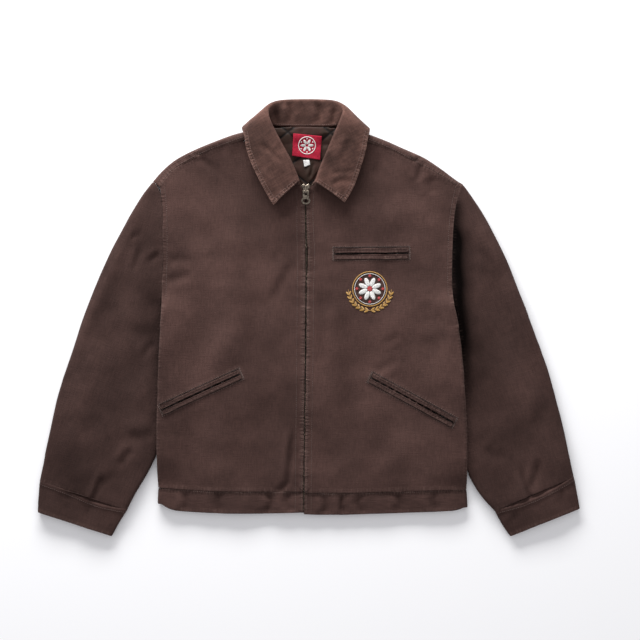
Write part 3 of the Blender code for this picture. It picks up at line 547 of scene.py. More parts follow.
def crumple(piece, upper, under=None, place=None, shadow=None):
    points, normals = readPoints(piece), readNormals(piece)
    outer = outside(piece)
    x, y = points[:, 0].copy(), points[:, 1].copy()
    up = smoothStep((normals[:, 2] - 0.1) / 0.6) * outer
    lift = upper(x, y)
    if place is not None:
        lift = lift + gather(place)
    points[:, 2] += lift * up
    # painted shading: raised cloth is painted lighter, lowered cloth darker
    relief = np.clip(lift * up / 5.0, -0.8, 0.8)
    # shadow adds painted shade in the slits, the zip opening and the tucks
    if shadow is not None:
        relief -= shadow(x, y) * outer * (normals[:, 2] > 0)
    markPoints(piece, "relief", relief)
    if under is not None:
        down = smoothStep((-normals[:, 2] - 0.3) / 0.5) * outer
        points[:, 2] += under(x, y) * down
    edge = (1 - np.abs(normals[:, 2])) * outer      # the outline wavers a little
    points[:, :2] += normals[:, :2] * (edge * 0.5 * softNoise(x, y, 22, 31))[:, None]
    points[:, 2] = np.maximum(points[:, 2], 0.03)       # nothing sinks into the surface
    writePoints(piece, points)


def addNode(material, kind, inputs=None, **settings):
    node = material.node_tree.nodes.new("ShaderNode" + kind)
    for key, value in settings.items():
        setattr(node, key, value)
    for key, value in (inputs or {}).items():
        if isinstance(value, bpy.types.NodeSocket):
            material.node_tree.links.new(value, node.inputs[key])
        else:
            node.inputs[key].default_value = value
    return node


def newMaterial(name, roughness, **sockets):
    material = bpy.data.materials.new(name)
    material.use_nodes = True
    shader = material.node_tree.nodes["Principled BSDF"]
    shader.inputs["Roughness"].default_value = roughness
    for key, value in sockets.items():
        shader.inputs[key.replace("_", " ")].default_value = value
    return material, shader


def noiseAt(material, vector, scale, detail=2.0, roughness=0.55):
    mapped = addNode(material, "Mapping", {"Vector": vector, "Scale": scale}).outputs[0]
    noise = addNode(material, "TexNoise", {"Vector": mapped, "Scale": 1.0, "Detail": detail,
                                           "Roughness": roughness})
    return noise.outputs["Fac"]


def stretch(material, value, low, high, toLow=0.0, toHigh=1.0):
    node = addNode(material, "MapRange", {"Value": value, "From Min": low, "From Max": high,
                                          "To Min": toLow, "To Max": toHigh},
                   interpolation_type="SMOOTHSTEP")
    return node.outputs["Result"]


def calc(material, operation, first, second, clamp=False):
    node = addNode(material, "Math", {0: first, 1: second, 2: 1.0}, operation=operation, use_clamp=clamp)
    return node.outputs[0]


def times(material, first, second, clamp=False):
    return calc(material, "MULTIPLY", first, second, clamp)


def plus(material, first, second):
    return calc(material, "ADD", first, second)


def waves(material, vector, pitch, distortion=0.6, detailScale=1.0, direction="X"):
    # even bands; Blender's wave repeats every 0.314 m at a scale of 1
    node = addNode(material, "TexWave", {"Vector": vector, "Scale": 0.314 / pitch, "Distortion": distortion,
                                         "Detail Scale": detailScale}, bands_direction=direction)
    return node.outputs["Fac"]


def mottled(material, base, low, high, scale, detail=2.0):
    # where on the piece, and a colour that varies there between two shares of itself
    place = addNode(material, "TexCoord").outputs["Object"]
    spots = stretch(material, noiseAt(material, place, (scale, scale, scale), detail), 0.3, 0.7)
    return place, blendColour(material, spots, colour(base, low), colour(base, high))


def plug(material, shader, **sockets):
    for key, value in sockets.items():
        material.node_tree.links.new(value, shader.inputs[key.replace("_", " ")])


def blendColour(material, share, first, second, mode="MIX"):
    node = addNode(material, "Mix", {0: share, 6: first, 7: second}, data_type="RGBA", blend_type=mode)
    return node.outputs[2]


def colour(values, shade=1.0):
    return (values[0] * shade, values[1] * shade, values[2] * shade, 1.0)


def bumpOf(material, height, distance, strength=1.0, normal=None):
    inputs = {"Height": height, "Distance": distance, "Strength": strength}
    if normal is not None:
        inputs["Normal"] = normal
    return addNode(material, "Bump", inputs).outputs["Normal"]


canvasLook = {
    "brown": (0.0585, 0.0305, 0.0255),
    "pale": (0.135, 0.084, 0.070),      # where washing wore the dye off
    "sheen": 0.03,
    "slubs": 0.13,      # how much lighter and darker single threads are
    "patches": 0.14,
    "patchScale": (11.0, 8.0, 9.0),
    "ticks": 0.5,       # how much the sewing shows as little ridges beside it, with pale worn tops and painted shade between them
    "tickPitch": 0.0054,
}


def canvasMaterial(name, look, shade=1.0, turn=0.0, wear=1.0, rib=0.0):
    material, shader = newMaterial(name, 0.9, Sheen_Weight=look["sheen"], Sheen_Roughness=0.55,
                                   Specular_IOR_Level=0.12)
    place = addNode(material, "TexCoord").outputs["Object"]
    place = addNode(material, "Mapping", {"Vector": place, "Rotation": (0.0, 0.0, turn)}).outputs[0]
    warp = noiseAt(material, place, (520.0, 62.0, 90.0), 3.0, 0.6)
    weft = noiseAt(material, place, (70.0, 560.0, 90.0), 3.0, 0.6)
    grain = noiseAt(material, place, (1500.0, 1500.0, 1500.0), 2.0)
    patches = noiseAt(material, place, look["patchScale"], 4.0, 0.6)
    threads = plus(material, times(material, warp, 0.6), times(material, weft, 0.4))

    seam = addNode(material, "Attribute", attribute_name="seam").outputs["Vector"]
    run, away, strength = addNode(material, "SeparateXYZ", {0: seam}).outputs
    pucker = noiseAt(material, seam, (175.0, 55.0, 0.0), 1.0)
    near = times(material, stretch(material, away, 0.0, 0.0085, 1.0, 0.0), strength)
    edge = times(material, stretch(material, away, 0.0005, 0.0024, 1.0, 0.0), strength)
    worn = plus(material, times(material, near, stretch(material, pucker, 0.50, 0.72, 0.0, 0.42)),
                times(material, edge, stretch(material, warp, 0.35, 0.6, 0.10, 0.5)))
    # little ridges that the sewing thread pulls up across a seam, drawn in colour only: pale wear on their
    # tops and painted shade between them
    line = addNode(material, "CombineXYZ", {0: run}).outputs[0]
    ticks = waves(material, line, look["tickPitch"], 1.6, 0.8)
    across = times(material, stretch(material, away, 0.0006, 0.0020),
                   stretch(material, away, 0.0050, 0.0085, 1.0, 0.0))
    uneven = stretch(material, pucker, 0.35, 0.6, 0.25, 1.3)
    across = times(material, across, times(material, strength, uneven))
    ridges = stretch(material, ticks, 0.5, 0.95, 0.0, 0.34 * look["ticks"])
    worn = times(material, plus(material, worn, times(material, across, ridges)), wear, clamp=True)

    # shade darkens a whole piece: painted shade on the band, the welts and the sleeves
    tone = blendColour(material, stretch(material, patches, 0.32, 0.68),
                       colour(look["brown"], shade * (1 - look["patches"])),
                       colour(look["brown"], shade * (1 + look["patches"])))
    light = stretch(material, threads, 0.36, 0.64, 1 - look["slubs"], 1 + look["slubs"])
    relief = addNode(material, "Attribute", attribute_name="relief").outputs["Fac"]
    hollow = calc(material, "MULTIPLY_ADD", relief, 0.38)       # 1 + 0.38 times the mark: painted shade in troughs, painted light on raised cloth
    hollow = calc(material, "MAXIMUM", hollow, 0.05)
    light = times(material, light, hollow)
    # painted shade between the ridges
    between = times(material, across, stretch(material, ticks, 0.05, 0.5, -0.22 * look["ticks"], 0.0))
    light = times(material, light, plus(material, between, 1.0))
    scaled = addNode(material, "VectorMath", {0: tone, "Scale": light}, operation="SCALE").outputs[0]

    height = plus(material, threads, times(material, grain, 0.5))
    if rib:
        height = plus(material, height, times(material, waves(material, place, rib, 1.5, 0.3), 0.6))
    normal = bumpOf(material, height, 0.0011, 0.8)
    # the base colour carries the painted shading, and the reflection is dimmed where painted shade lies
    plug(material, shader, Base_Color=blendColour(material, worn, scaled, colour(look["pale"], shade)),
         Specular_IOR_Level=times(material, hollow, 0.12),
         Normal=bumpOf(material, times(material, pucker, near), 0.0030, 0.9, normal))
    return material


sleeveTurn = math.radians(17)
# The band and the sleeves are darker copies of the same canvas: painted shade for the light falling off
# towards them.
canvasBody = canvasMaterial("canvas_body", canvasLook)
canvasBand = canvasMaterial("canvas_band", canvasLook, 0.86, math.radians(90))
canvasSleeveRight = canvasMaterial("canvas_sleeve_right", canvasLook, 0.70, sleeveTurn)
canvasSleeveLeft = canvasMaterial("canvas_sleeve_left", canvasLook, 0.76, -sleeveTurn)
collarLook = dict(canvasLook, brown=(0.084, 0.0415, 0.0325), pale=(0.195, 0.108, 0.086), slubs=0.22,
                  patches=0.34, patchScale=(30.0, 21.0, 25.0), ticks=1.0)
canvasCollar = canvasMaterial("canvas_collar", collarLook, 1.0, math.radians(62), 1.7, rib=0.0013)


def unchanged(x, y):
    return 0.0 * x


bodyPieces = {
    # columns: node, levels, flat size, area as laid, what it rests on
    "frontRight": ("front_right", 3, (0.285, 0.615), 0.150, "back"),
    "frontLeft": ("front_left", 3, (0.290, 0.615), 0.152, "back"),
    "yokeRight": ("yoke_right", 2, (0.210, 0.045), 0.0068, "back"),
    "yokeLeft": ("yoke_left", 2, (0.210, 0.045), 0.0068, "back"),
    "hemBandRight": ("hem_band_right", 3, (0.262, 0.045), 0.0112, "hem_band_back"),
    "hemBandLeft": ("hem_band_left", 3, (0.290, 0.045), 0.0124, "hem_band_back"),
    "hemBandBack": ("hem_band_back", 2, (0.560, 0.045), 0.0235, []),
    "backCloth": ("back", 2, (0.560, 0.640), 0.310, []),
    "sleeveRight": ("sleeve_right", 3, (0.400, 0.530), 0.160, []),
    "sleeveLeft": ("sleeve_left", 3, (0.400, 0.530), 0.160, []),
    "cuffRight": ("cuff_right", 3, (0.330, 0.060), 0.0175, []),
    "cuffLeft": ("cuff_left", 3, (0.330, 0.060), 0.0175, []),
}
made = {}
for name, (node, levels, flat, area, restsOn) in bodyPieces.items():
    piece = clothFrom(node, name, levels)
    place = markSeams(piece, seams[node])
    material = canvasBand if node.startswith("hem") else canvasBody
    if node == "back":
        crumple(piece, unchanged, underHeight)
    elif node.startswith(("sleeve", "cuff")):
        crumple(piece, sleeveHeight, underHeight, place, tuckShade)
        material = canvasSleeveRight if node.endswith("right") else canvasSleeveLeft
    elif node == "hem_band_back":
        crumple(piece, unchanged)
    else:
        crumple(piece, frontHeight, None, place, openingShade)
    closeLips(piece, lips.get(node, []))
    made[name] = finish(piece, "jacket", "canvas", material, node)
    layCloth(piece, area)
print("body cloth laid")


collarCreases = [       # columns as above
    ([(-86, 300), (-60, 282), (-44, 262)], 5, -0.8),
    ([(-50, 214), (-66, 232), (-84, 262)], 9, 0.7),
    ([(36, 230), (58, 235), (80, 238)], 5, -0.5),
    ([(34, 244), (56, 250), (84, 252)], 4, -0.5),
    ([(-34, 374), (-30, 350), (-34, 332)], 5, -1.3),
    ([(14, 374), (20, 352), (16, 332)], 6, -1.3),
    ([(-60, 360), (-54, 342), (-54, 330)], 6, -1.3),
    ([(46, 362), (42, 342), (40, 330)], 5, -1.2),
    ([(-12, 374), (-8, 352), (-12, 334)], 7, -0.8),
    ([(72, 310), (64, 290), (58, 270)], 6, -0.7),
]


def collarHeight(x, y):
    bumps = 0.9 * softNoise(x, y, 26, 41) + 0.45 * softNoise(x, y, 11, 42)
    return bumps + 1.5 * creaseHeight(collarCreases, x, y)


collar = clothFrom("collar", "collarCloth", 3, 0.9)
place = markSeams(collar, seams["collar"])
crumple(collar, collarHeight, None, place)
made["collar"] = finish(collar, "jacket", "collar_canvas", canvasCollar, "collar")
layCloth(collar, 0.044)


def makeWelt(node, name, values):
    welt = clothFrom(node, name, 3, 0.3)
    start, end = np.array(values["slit"], float)
    markSeams(welt, [(np.array([start, end]), 0.85), (pocketFrame(values, -0.8), 1.0)])
    crumple(welt, bodyHeight)
    points = readPoints(welt)
    across = nearLine([start, end], points[:, 0], points[:, 1])[0]
    ahead = (end - start) / math.dist(start, end)
    part = np.sign(np.median(across)) * smoothStep((5 - np.abs(across)) / 5)     # opens the slit by 1 mm
    points[:, :2] += part[:, None] * np.array((ahead[1], -ahead[0]))
    writePoints(welt, points)
    made[name] = finish(welt, "jacket", "canvas", canvasBand, node)
    length = math.dist(start, end)
    shown = values["reach"] - 1.6
    layCloth(welt, length * shown * mm * mm)


for values in pockets.values():
    for lip in ("upper", "lower"):
        words = (values["welt"] + "_" + lip).split("_")
        makeWelt("_".join(words), words[0] + "".join(word.capitalize() for word in words[1:]), values)


# The quilted lining shows only inside the neck.

lining = {
    # columns: y, x of its edge on the wearer's right, on the left
    "edges": [(229, -11, 3), (251, -27, 19), (280, -48, 38), (306, -66, 57), (328.5, -68, 60)],
    "cell": 46.3,       # between two rows of quilting
    "angles": (38, -40),
    "through": ((-22.5, 329.7), (-47.3, 329.7)),    # a point on one line of each row
    "puff": 2.3,
    "wall": 0.9,
    "gap": 0.35,        # between it and the back's cloth
    "creases": [
        ([(9, 270), (6, 254), (1, 238)], 3, -1.6),
        ([(-30, 316), (-22, 300), (-20, 286)], 4, -0.8),
        ([(34, 320), (26, 306), (28, 290)], 4, -0.8),
    ],
}


def closedGrid(name, outer, inner):
    # a thin wall between two grids of points with the same rows and columns
    rows, columns = outer.shape[:2]
    count = rows * columns
    faces = []
    for r in range(rows - 1):
        for c in range(columns - 1):
            a, b = r * columns + c, (r + 1) * columns + c
            faces += [(a, a + 1, b + 1, b), (count + a, count + b, count + b + 1, count + a + 1)]
    rim = ([(0, c) for c in range(columns)] + [(r, columns - 1) for r in range(1, rows)]
           + [(rows - 1, c) for c in range(columns - 2, -1, -1)] + [(r, 0) for r in range(rows - 2, 0, -1)])
    for (r, c), (r2, c2) in zip(rim, rim[1:] + rim[:1]):
        a, b = r * columns + c, r2 * columns + c2
        faces.append((a, count + a, count + b, b))
    piece = newPiece(name, np.concatenate([outer.reshape(-1, 3), inner.reshape(-1, 3)]), faces)
    onlySelect(piece)
    bpy.ops.object.mode_set(mode="EDIT")
    bpy.ops.mesh.select_all(action="SELECT")
    bpy.ops.mesh.normals_make_consistent(inside=False)
    bpy.ops.object.mode_set(mode="OBJECT")
    return piece


def quiltRows(x, y):    # distance to the nearest line of quilting, in mm
    nearest = np.full(np.shape(x), 1e3)
    for angle, (px, py) in zip(lining["angles"], lining["through"]):
        a = math.radians(angle)
        across = (-(x - px) * math.sin(a) + (y - py) * math.cos(a)) / lining["cell"]
        nearest = np.minimum(nearest, np.abs(across - np.round(across)) * lining["cell"])
    return nearest


def makeLining():
    backTop = topOf(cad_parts["back"])
    edges = np.array(lining["edges"], float)
    ys = np.linspace(edges[0, 0], edges[-1, 0], 70)
    u = np.linspace(0, 1, 84)
    x0, x1 = (np.interp(ys, edges[:, 0], edges[:, k]) for k in (1, 2))
    x = x0[:, None] * (1 - u) + x1[:, None] * u
    y = np.repeat(ys[:, None], len(u), axis=1)
    ground = np.array([[backTop(a, b) or 5.0 for a, b in zip(rowX, rowY)] for rowX, rowY in zip(x, y)])
    near = quiltRows(x, y)
    bumps = softNoise(x.ravel(), y.ravel(), 9, 61).reshape(x.shape)
    puff = lining["puff"] * (1 - np.exp(-near / 5.0)) + 0.5 * bumps
    fold = creaseHeight(lining["creases"], x.ravel(), y.ravel()).reshape(x.shape)
    border = np.minimum(np.minimum(u, 1 - u) * (x1 - x0)[:, None], 6.0) / 6.0
    low = ground + lining["gap"]
    top = low + lining["wall"] + np.maximum(puff + fold, 0.0) * smoothStep(border)
    piece = closedGrid("liningNeck", np.stack([x, y, top], axis=2), np.stack([x, y, low], axis=2))
    markPoints(piece, "quilt", np.tile(near.ravel(), 2) * mm)
    return piece


def liningMaterial():
    material, shader = newMaterial("quilted_lining", 0.6, Specular_IOR_Level=0.15)
    place = addNode(material, "TexCoord").outputs["Object"]
    near = addNode(material, "Attribute", attribute_name="quilt").outputs["Fac"]
    cloudy = noiseAt(material, place, (60.0, 45.0, 60.0), 3.0)
    fine = noiseAt(material, place, (900.0, 900.0, 900.0), 2.0)
    tone = blendColour(material, stretch(material, cloudy, 0.35, 0.65), colour((0.036, 0.0150, 0.0110)),
                       colour((0.028, 0.0155, 0.0105)))
    # darker along the quilting lines: painted shade in the grooves between the puffs
    tone = blendColour(material, stretch(material, near, 0.0003, 0.0030, 1.0, 0.0), tone,
                       colour((0.006, 0.004, 0.0035)))
    plug(material, shader, Base_Color=tone, Normal=bumpOf(material, fine, 0.0006, 0.6))
    return material


made["lining"] = finish(makeLining(), "jacket", "lining_cloth", liningMaterial(), "lining_back")
layCloth(made["lining"], 0.0078)


labels = {
    # corners: x, y, going round from the wearer's right at the top
    "neck": {"corners": [(-26, 317), (23, 312), (20, 272), (-28, 279)], "wall": 0.7, "lift": 0.4,
             "red": (0.42, 0.006, 0.032)},
    "size": {"corners": [(-9, 271.5), (1.2, 272.0), (3, 263.5), (-7, 259.5)], "wall": 0.5, "lift": 0.2},
    "emblem": {"middle": (-2.5, 296.5), "radius": 14.5, "petals": 6},
}


def labelPiece(name, values, columns, rows):
    under = topOf(made["lining"])
    a, b, c, d = (np.array(corner, float) for corner in values["corners"])
    u, v = np.meshgrid(np.linspace(0, 1, columns), np.linspace(0, 1, rows))
    spot = ((1 - v) * (1 - u))[..., None] * a + ((1 - v) * u)[..., None] * b + (v * u)[..., None] * c
    spot = spot + (v * (1 - u))[..., None] * d
    around = [(dx, dy) for dx in (-5, 0, 5) for dy in (-5, 0, 5)]
    ground = np.array([[max(under(x + dx, y + dy) or 0 for dx, dy in around) for x, y in row]
                       for row in spot])
    for _ in range(6):      # stiff cloth bridges the quilting
        ground[1:-1] = (ground[:-2] + ground[1:-1] * 2 + ground[2:]) / 4
        ground[:, 1:-1] = (ground[:, :-2] + ground[:, 1:-1] * 2 + ground[:, 2:]) / 4
    low = ground + values["lift"] + 0.35 * np.sin(u * 7 + v * 3) * (1 - v)     # its free end curls a little
    outer = np.concatenate([spot, (low + values["wall"])[..., None]], axis=2)
    inner = np.concatenate([spot, low[..., None]], axis=2)
    return closedGrid(name, outer, inner)


def wovenMaterial(name, base, pitch, roughness=0.7):
    material, shader = newMaterial(name, roughness, Sheen_Weight=0.04, Specular_IOR_Level=0.2)
    place, tone = mottled(material, base, 0.78, 1.12, 260.0, 3.0)
    weave = times(material, waves(material, place, pitch), waves(material, place, pitch, direction="Y"))
    tone = blendColour(material, stretch(material, weave, 0.0, 0.6, 0.28, 0.0), tone, colour(base, 0.35))
    plug(material, shader, Base_Color=tone, Normal=bumpOf(material, weave, 0.0003, 0.7))
    return material


labelRed = wovenMaterial("label_red_weave", labels["neck"]["red"], 0.0006)
labelWhite = wovenMaterial("label_white_weave", (0.78, 0.77, 0.75), 0.0006)
neckLabel = labelPiece("neckLabel", labels["neck"], 46, 38)
made["label"] = finish(neckLabel, "jacket", "label_red", labelRed, "neck_label")
layCloth(made["label"], 0.00192)
sizeTab = labelPiece("sizeTab", labels["size"], 10, 9)
made["tab"] = finish(sizeTab, "jacket", "label_white", labelWhite, "size_tab")
layCloth(made["tab"], 0.0000925)


def joinCopies(name, template, copies):
    # one shape copied to many places; each copy is its points in mm
    shape = [tuple(polygon.vertices) for polygon in template.data.polygons]
    size = len(template.data.vertices)
    faces = [tuple(v + k * size for v in face) for k in range(len(copies)) for face in shape]
    piece = newPiece(name, np.concatenate(copies), faces)
    bpy.data.objects.remove(template)
    return piece


stitch = {"width": 0.78, "rise": 0.20}


def stitchRow(path, pieces, pitch=3.5, length=2.7):
    # both ends of each stitch, lying on the highest of the pieces
    tops = [surfaces[name] for name in pieces]
    middles, ways = along(path, pitch)
    half = length / 2
    found = []
    for (x, y), (dx, dy) in zip(middles, ways):
        ends = []
        for t in (-half, half):
            heights = [top(x + dx * t, y + dy * t) for top in tops]
            heights = [h for h in heights if h is not None]
            ends.append((x + dx * t, y + dy * t, max(heights)) if heights else None)
        if ends[0] and ends[1] and abs(ends[0][2] - ends[1][2]) < 1.6:      # not down a step
            found.append((np.array(ends[0]), np.array(ends[1])))
    return found


def stitches(name, rows, slot, material):
    bpy.ops.mesh.primitive_ico_sphere_add(subdivisions=1, radius=0.5, location=(0, 0, 0))
    template = bpy.context.object
    onlySelect(template)
    bpy.ops.object.mode_set(mode="EDIT")
    bpy.ops.transform.resize(value=(1.0, 1.0, 0.8))
    bpy.ops.object.mode_set(mode="OBJECT")
    unit = np.array([v.co for v in template.data.vertices])
    copies = []
    for a, b in rows:
        way = (b - a) / np.linalg.norm(b - a)
        side = np.cross((0, 0, 1), way)
        side /= np.linalg.norm(side)
        up = np.cross(way, side)
        middle = (a + b) / 2 + up * stitch["rise"]
        copies.append(middle + unit[:, :1] * (b - a) + unit[:, 1:2] * side * stitch["width"]
                      + unit[:, 2:3] * up * stitch["width"])
    return finish(joinCopies(name, template, copies), "jacket", slot, material)


def threadMaterial(name, base, sheen=0.08):
    material, shader = newMaterial(name, 0.55, Sheen_Weight=sheen, Sheen_Roughness=0.3)
    place, tone = mottled(material, base, 0.7, 1.2, 420.0)
    strands = noiseAt(material, place, (2600.0, 900.0, 900.0), 1.0)
    plug(material, shader, Base_Color=tone, Normal=bumpOf(material, strands, 0.0004, 0.7))
    return material


brownThread = threadMaterial("thread_brown", (0.098, 0.058, 0.047))
collarThread = threadMaterial("thread_collar", (0.165, 0.096, 0.079))
# a near-black thread for painted shadow lines
paintedShadowThread = threadMaterial("painted_shadow_thread", (0.010, 0.006, 0.005), 0.0)
surfaces = {name: topOf(piece) for name, piece in made.items()}

topstitching = [
    # columns: seam, how far to its left on the wearer's right and left, pieces it lies on
    ("zip", 2.2, -2.2, ("front", "hemBand")),
    ("zip", 12.8, -10.5, ("front", "hemBand")),
    ("hem", 2.4, -2.6, ("hemBand",)),
    ("shoulder", -2.2, 2.2, ("yoke",)),
    ("shoulder", -8.4, 8.4, ("yoke",)),
    ("armholeTop", -7.0, 7.0, ("front",)),
    ("cuff", -5.0, 5.0, ("cuff",)),
]
sewn, edges = [], []
for seam, onRight, onLeft, pieces in topstitching:
    sewn += stitchRow(offsetLine(rightSide[seam], onRight), [piece + "Right" for piece in pieces])
    sewn += stitchRow(offsetLine(leftSide[seam], onLeft), [piece + "Left" for piece in pieces])
for values in pockets.values():
    front = [values["on"]]
    sewn += stitchRow(pocketFrame(values, 2.0), front)
    # a dark line of stitches along each welt's outer edge: painted shadow
    edges += stitchRow(pocketFrame(values, 0.4), front, 3.0, 3.6)
    for shift in (-0.5, 0.3):       # painted shadow lines in the slit
        edges += stitchRow(offsetLine(values["slit"], shift), front, 3.0, 3.6)
    frameLine = pocketFrame(values, 0.6)
    ahead = (frameLine[1] - frameLine[0]) / np.linalg.norm(frameLine[1] - frameLine[0])
    for a, b in ((frameLine[1], frameLine[2]), (frameLine[3], frameLine[0])):
        for shift in (-0.6, 0.2, 1.0):      # bar tack across each end
            sewn += stitchRow(np.array([a + ahead * shift, b + ahead * shift]), front, 1.5, 1.7)
made["stitching"] = stitches("stitching", sewn, "canvas", brownThread)
made["weltShadowLines"] = stitches("weltShadowLines", edges, "canvas", paintedShadowThread)

collarRows = []
for distance in (2.8, 7.4):
    collarRows += stitchRow(offsetLine(rightSide["leaf"], -distance), ["collar"], 3.2)
    collarRows += stitchRow(offsetLine(leftSide["leaf"], distance), ["collar"], 3.2)
neckSeam = [(-58, 330), (-36, 329), (-3, 328.6), (30, 329), (52, 330)]
collarRows += stitchRow(offsetLine(neckSeam, 3.4), ["collar"], 3.2)
made["collarStitching"] = stitches("collarStitching", collarRows, "collar_canvas", collarThread)


def padTemplate(sides):     # a crowned pad of satin stitches, one unit across and high
    bpy.ops.mesh.primitive_cylinder_add(vertices=sides, radius=1.0, depth=1.0, location=(0, 0, 0.5))
    template = bpy.context.object
    onlySelect(template)
    bpy.ops.object.transform_apply(location=True, rotation=True, scale=True)
    bpy.ops.object.mode_set(mode="EDIT")
    bpy.ops.mesh.select_mode(type="FACE")
    bpy.ops.mesh.select_all(action="DESELECT")
    bpy.ops.object.mode_set(mode="OBJECT")
    for polygon in template.data.polygons:
        polygon.select = polygon.normal.z > 0.9
    bpy.ops.object.mode_set(mode="EDIT")
    bpy.ops.mesh.inset(thickness=0.22, depth=0.35)
    bpy.ops.mesh.inset(thickness=0.35, depth=0.18)
    bpy.ops.object.mode_set(mode="OBJECT")
    return template


def pads(name, top, spots, height, slot, material):
    # spots: middle x, y, half width, half length, turn in degrees
    template = padTemplate(20)
    unit = np.array([v.co for v in template.data.vertices])
    copies, thread = [], []
    for x, y, halfWidth, halfLength, turn in spots:
        a = math.radians(turn)
        u, v = unit[:, 0] * halfWidth, unit[:, 1] * halfLength
        px, py = x + u * math.cos(a) - v * math.sin(a), y + u * math.sin(a) + v * math.cos(a)
        ground = np.array([top(i, j) or 0.0 for i, j in zip(px, py)])
        copies.append(np.stack([px, py, ground - 0.3 + unit[:, 2] * height], axis=1))
        thread.append(v)
    piece = joinCopies(name, template, copies)
    markPoints(piece, "thread", np.concatenate(thread) * mm)
    return finish(piece, "jacket", slot, material)


def rope(name, top, path, width, height, slot, material):
    # a raised line of stitches along a path, drawn flat on the cloth
    middles, ways = along(path, 0.9)
    template = padTemplate(12)
    unit = np.array([v.co for v in template.data.vertices])
    copies = []
    for (x, y), (dx, dy) in zip(middles, ways):
        u, v = unit[:, 0] * 0.62, unit[:, 1] * width / 2
        lean = u + v * 0.35
        px, py = x + dx * lean - dy * v, y + dy * lean + dx * v
        ground = top(x, y) or 0.0
        copies.append(np.stack([px, py, ground - 0.3 + unit[:, 2] * height], axis=1))
    return finish(joinCopies(name, template, copies), "jacket", slot, material)


def satinMaterial(name, base, roughness=0.42):
    material, shader = newMaterial(name, roughness, Sheen_Weight=0.35, Sheen_Roughness=0.3)
    thread = addNode(material, "Attribute", attribute_name="thread").outputs["Fac"]
    joined = addNode(material, "CombineXYZ", {0: thread}).outputs[0]
    lines = waves(material, joined, 0.00045, 0.4)
    tone = mottled(material, base, 0.82, 1.1, 500.0)[1]
    tone = blendColour(material, stretch(material, lines, 0.0, 0.5, 0.35, 0.0), tone, colour(base, 0.5))
    plug(material, shader, Base_Color=tone, Normal=bumpOf(material, lines, 0.0003, 0.8))
    return material


satinWhite = satinMaterial("satin_white", (0.80, 0.79, 0.76))
satinRed = satinMaterial("satin_red", (0.42, 0.022, 0.022))
satinGold = satinMaterial("satin_gold", (0.46, 0.25, 0.055))

badge = {
    "middle": (105.5, 50.0),    # on the wearer's left chest, under the pocket
    "ring": 29.5,
    "inner": 26.2,
    "stem": 37.0,
    "petals": 8,
    "petal": (12.4, 3.9, 8.0),      # reach, half width, half length
    "heart": (22.4, 2.5),           # reach, radius
    "core": 4.6,
    "sprays": 7,                    # pairs of leaves on each side of the wreath below
    "sprayStep": 11.5,
    "leaf": (1.6, 4.1),
    "leafRows": ((35.0, 32), (39.0, -28)),      # reach, lean
}


def circle(middle, radius, start=0.0, end=360.0, count=72):
    angles = np.radians(np.linspace(start, end, count))
    return np.stack([middle[0] + radius * np.cos(angles), middle[1] + radius * np.sin(angles)], axis=1)


def padAt(middle, reach, a, *size, turn=0):     # a pad at an angle and distance from a middle
    return (middle[0] + reach * math.cos(a), middle[1] + reach * math.sin(a), *size, turn)


def makeBadge():
    top, middle = surfaces["frontLeft"], badge["middle"]
    reach, width, length = badge["petal"]
    heartReach, heart = badge["heart"]
    petals, hearts, leaves = [], [], []
    for k in range(badge["petals"]):
        a = math.radians(360 * k / badge["petals"] + 22.5)
        petals.append(padAt(middle, reach, a, width, length, turn=math.degrees(a) - 90))
        hearts.append(padAt(middle, heartReach, a + 0.39, heart, heart))
    hearts.append((*middle, badge["core"], badge["core"], 0))
    for side in (-1, 1):
        for k in range(badge["sprays"]):
            a = math.radians(-90 + side * (9 + badge["sprayStep"] * k))
            for reach, lean in badge["leafRows"]:
                turn = math.degrees(a) + side * 90 + side * lean
                leaves.append(padAt(middle, reach, a, *badge["leaf"], turn=turn - 90))
    made["badgePetals"] = pads("badgePetals", top, petals, 0.95, "label_white", satinWhite)
    made["badgeHearts"] = pads("badgeHearts", top, hearts, 1.0, "label_red", satinRed)
    made["badgeLeaves"] = pads("badgeLeaves", top, leaves, 0.85, "zip_metal", satinGold)
    ropes = {
        # columns: path, width, height, slot, material
        "badgeRing": (circle(middle, badge["ring"], count=120), 1.9, 0.9, "zip_metal", satinGold),
        "badgeInner": (circle(middle, badge["inner"], count=110), 1.0, 0.8, "label_white", satinWhite),
        "badgeStem": (circle(middle, badge["stem"], -178, -2, 90), 0.9, 0.75, "zip_metal", satinGold),
    }
    for name, values in ropes.items():
        made[name] = rope(name, top, *values)


def makeEmblem():
    top = topOf(made["label"])
    middle, radius = labels["emblem"]["middle"], labels["emblem"]["radius"]
    petals = []
    for k in range(labels["emblem"]["petals"]):
        a = math.radians(360 * k / labels["emblem"]["petals"])
        petals.append(padAt(middle, radius * 0.46, a, 2.2, 4.6, turn=math.degrees(a) - 90))
        petals.append(padAt(middle, radius * 0.78, a + 0.52, 1.2, 1.2))
    ring = circle(middle, radius, count=80)
    made["emblemPetals"] = pads("emblemPetals", top, petals, 0.5, "label_white", satinWhite)
    made["emblemRing"] = rope("emblemRing", top, ring, 1.5, 0.5, "label_white", satinWhite)


makeBadge()
makeEmblem()
print("thread sewn")


zipper = {
    "chain": [(-8, -333), (-7, -210), (-6, -141), (-4.5, -21), (-4, 60), (-4, 108), (-5, 177), (-4.5, 216)],
    "openRight": [(-8.5, 222), (-12, 227), (-16.5, 231), (-20, 236)],
    "openLeft": [(-0.5, 222), (4.0, 227), (9.5, 231.5), (14.5, 236)],
    "pitch": 2.1,
    "tooth": (2.6, 1.05, 1.9),
    "height": 7.9,
    "openHeight": 15.4,
    "slider": (-4.5, 221.0, 14.6),
    "bar": (-4.5, 217.4, 17.9),         # the pull tab swings on it
    "tilt": 9.0,
}


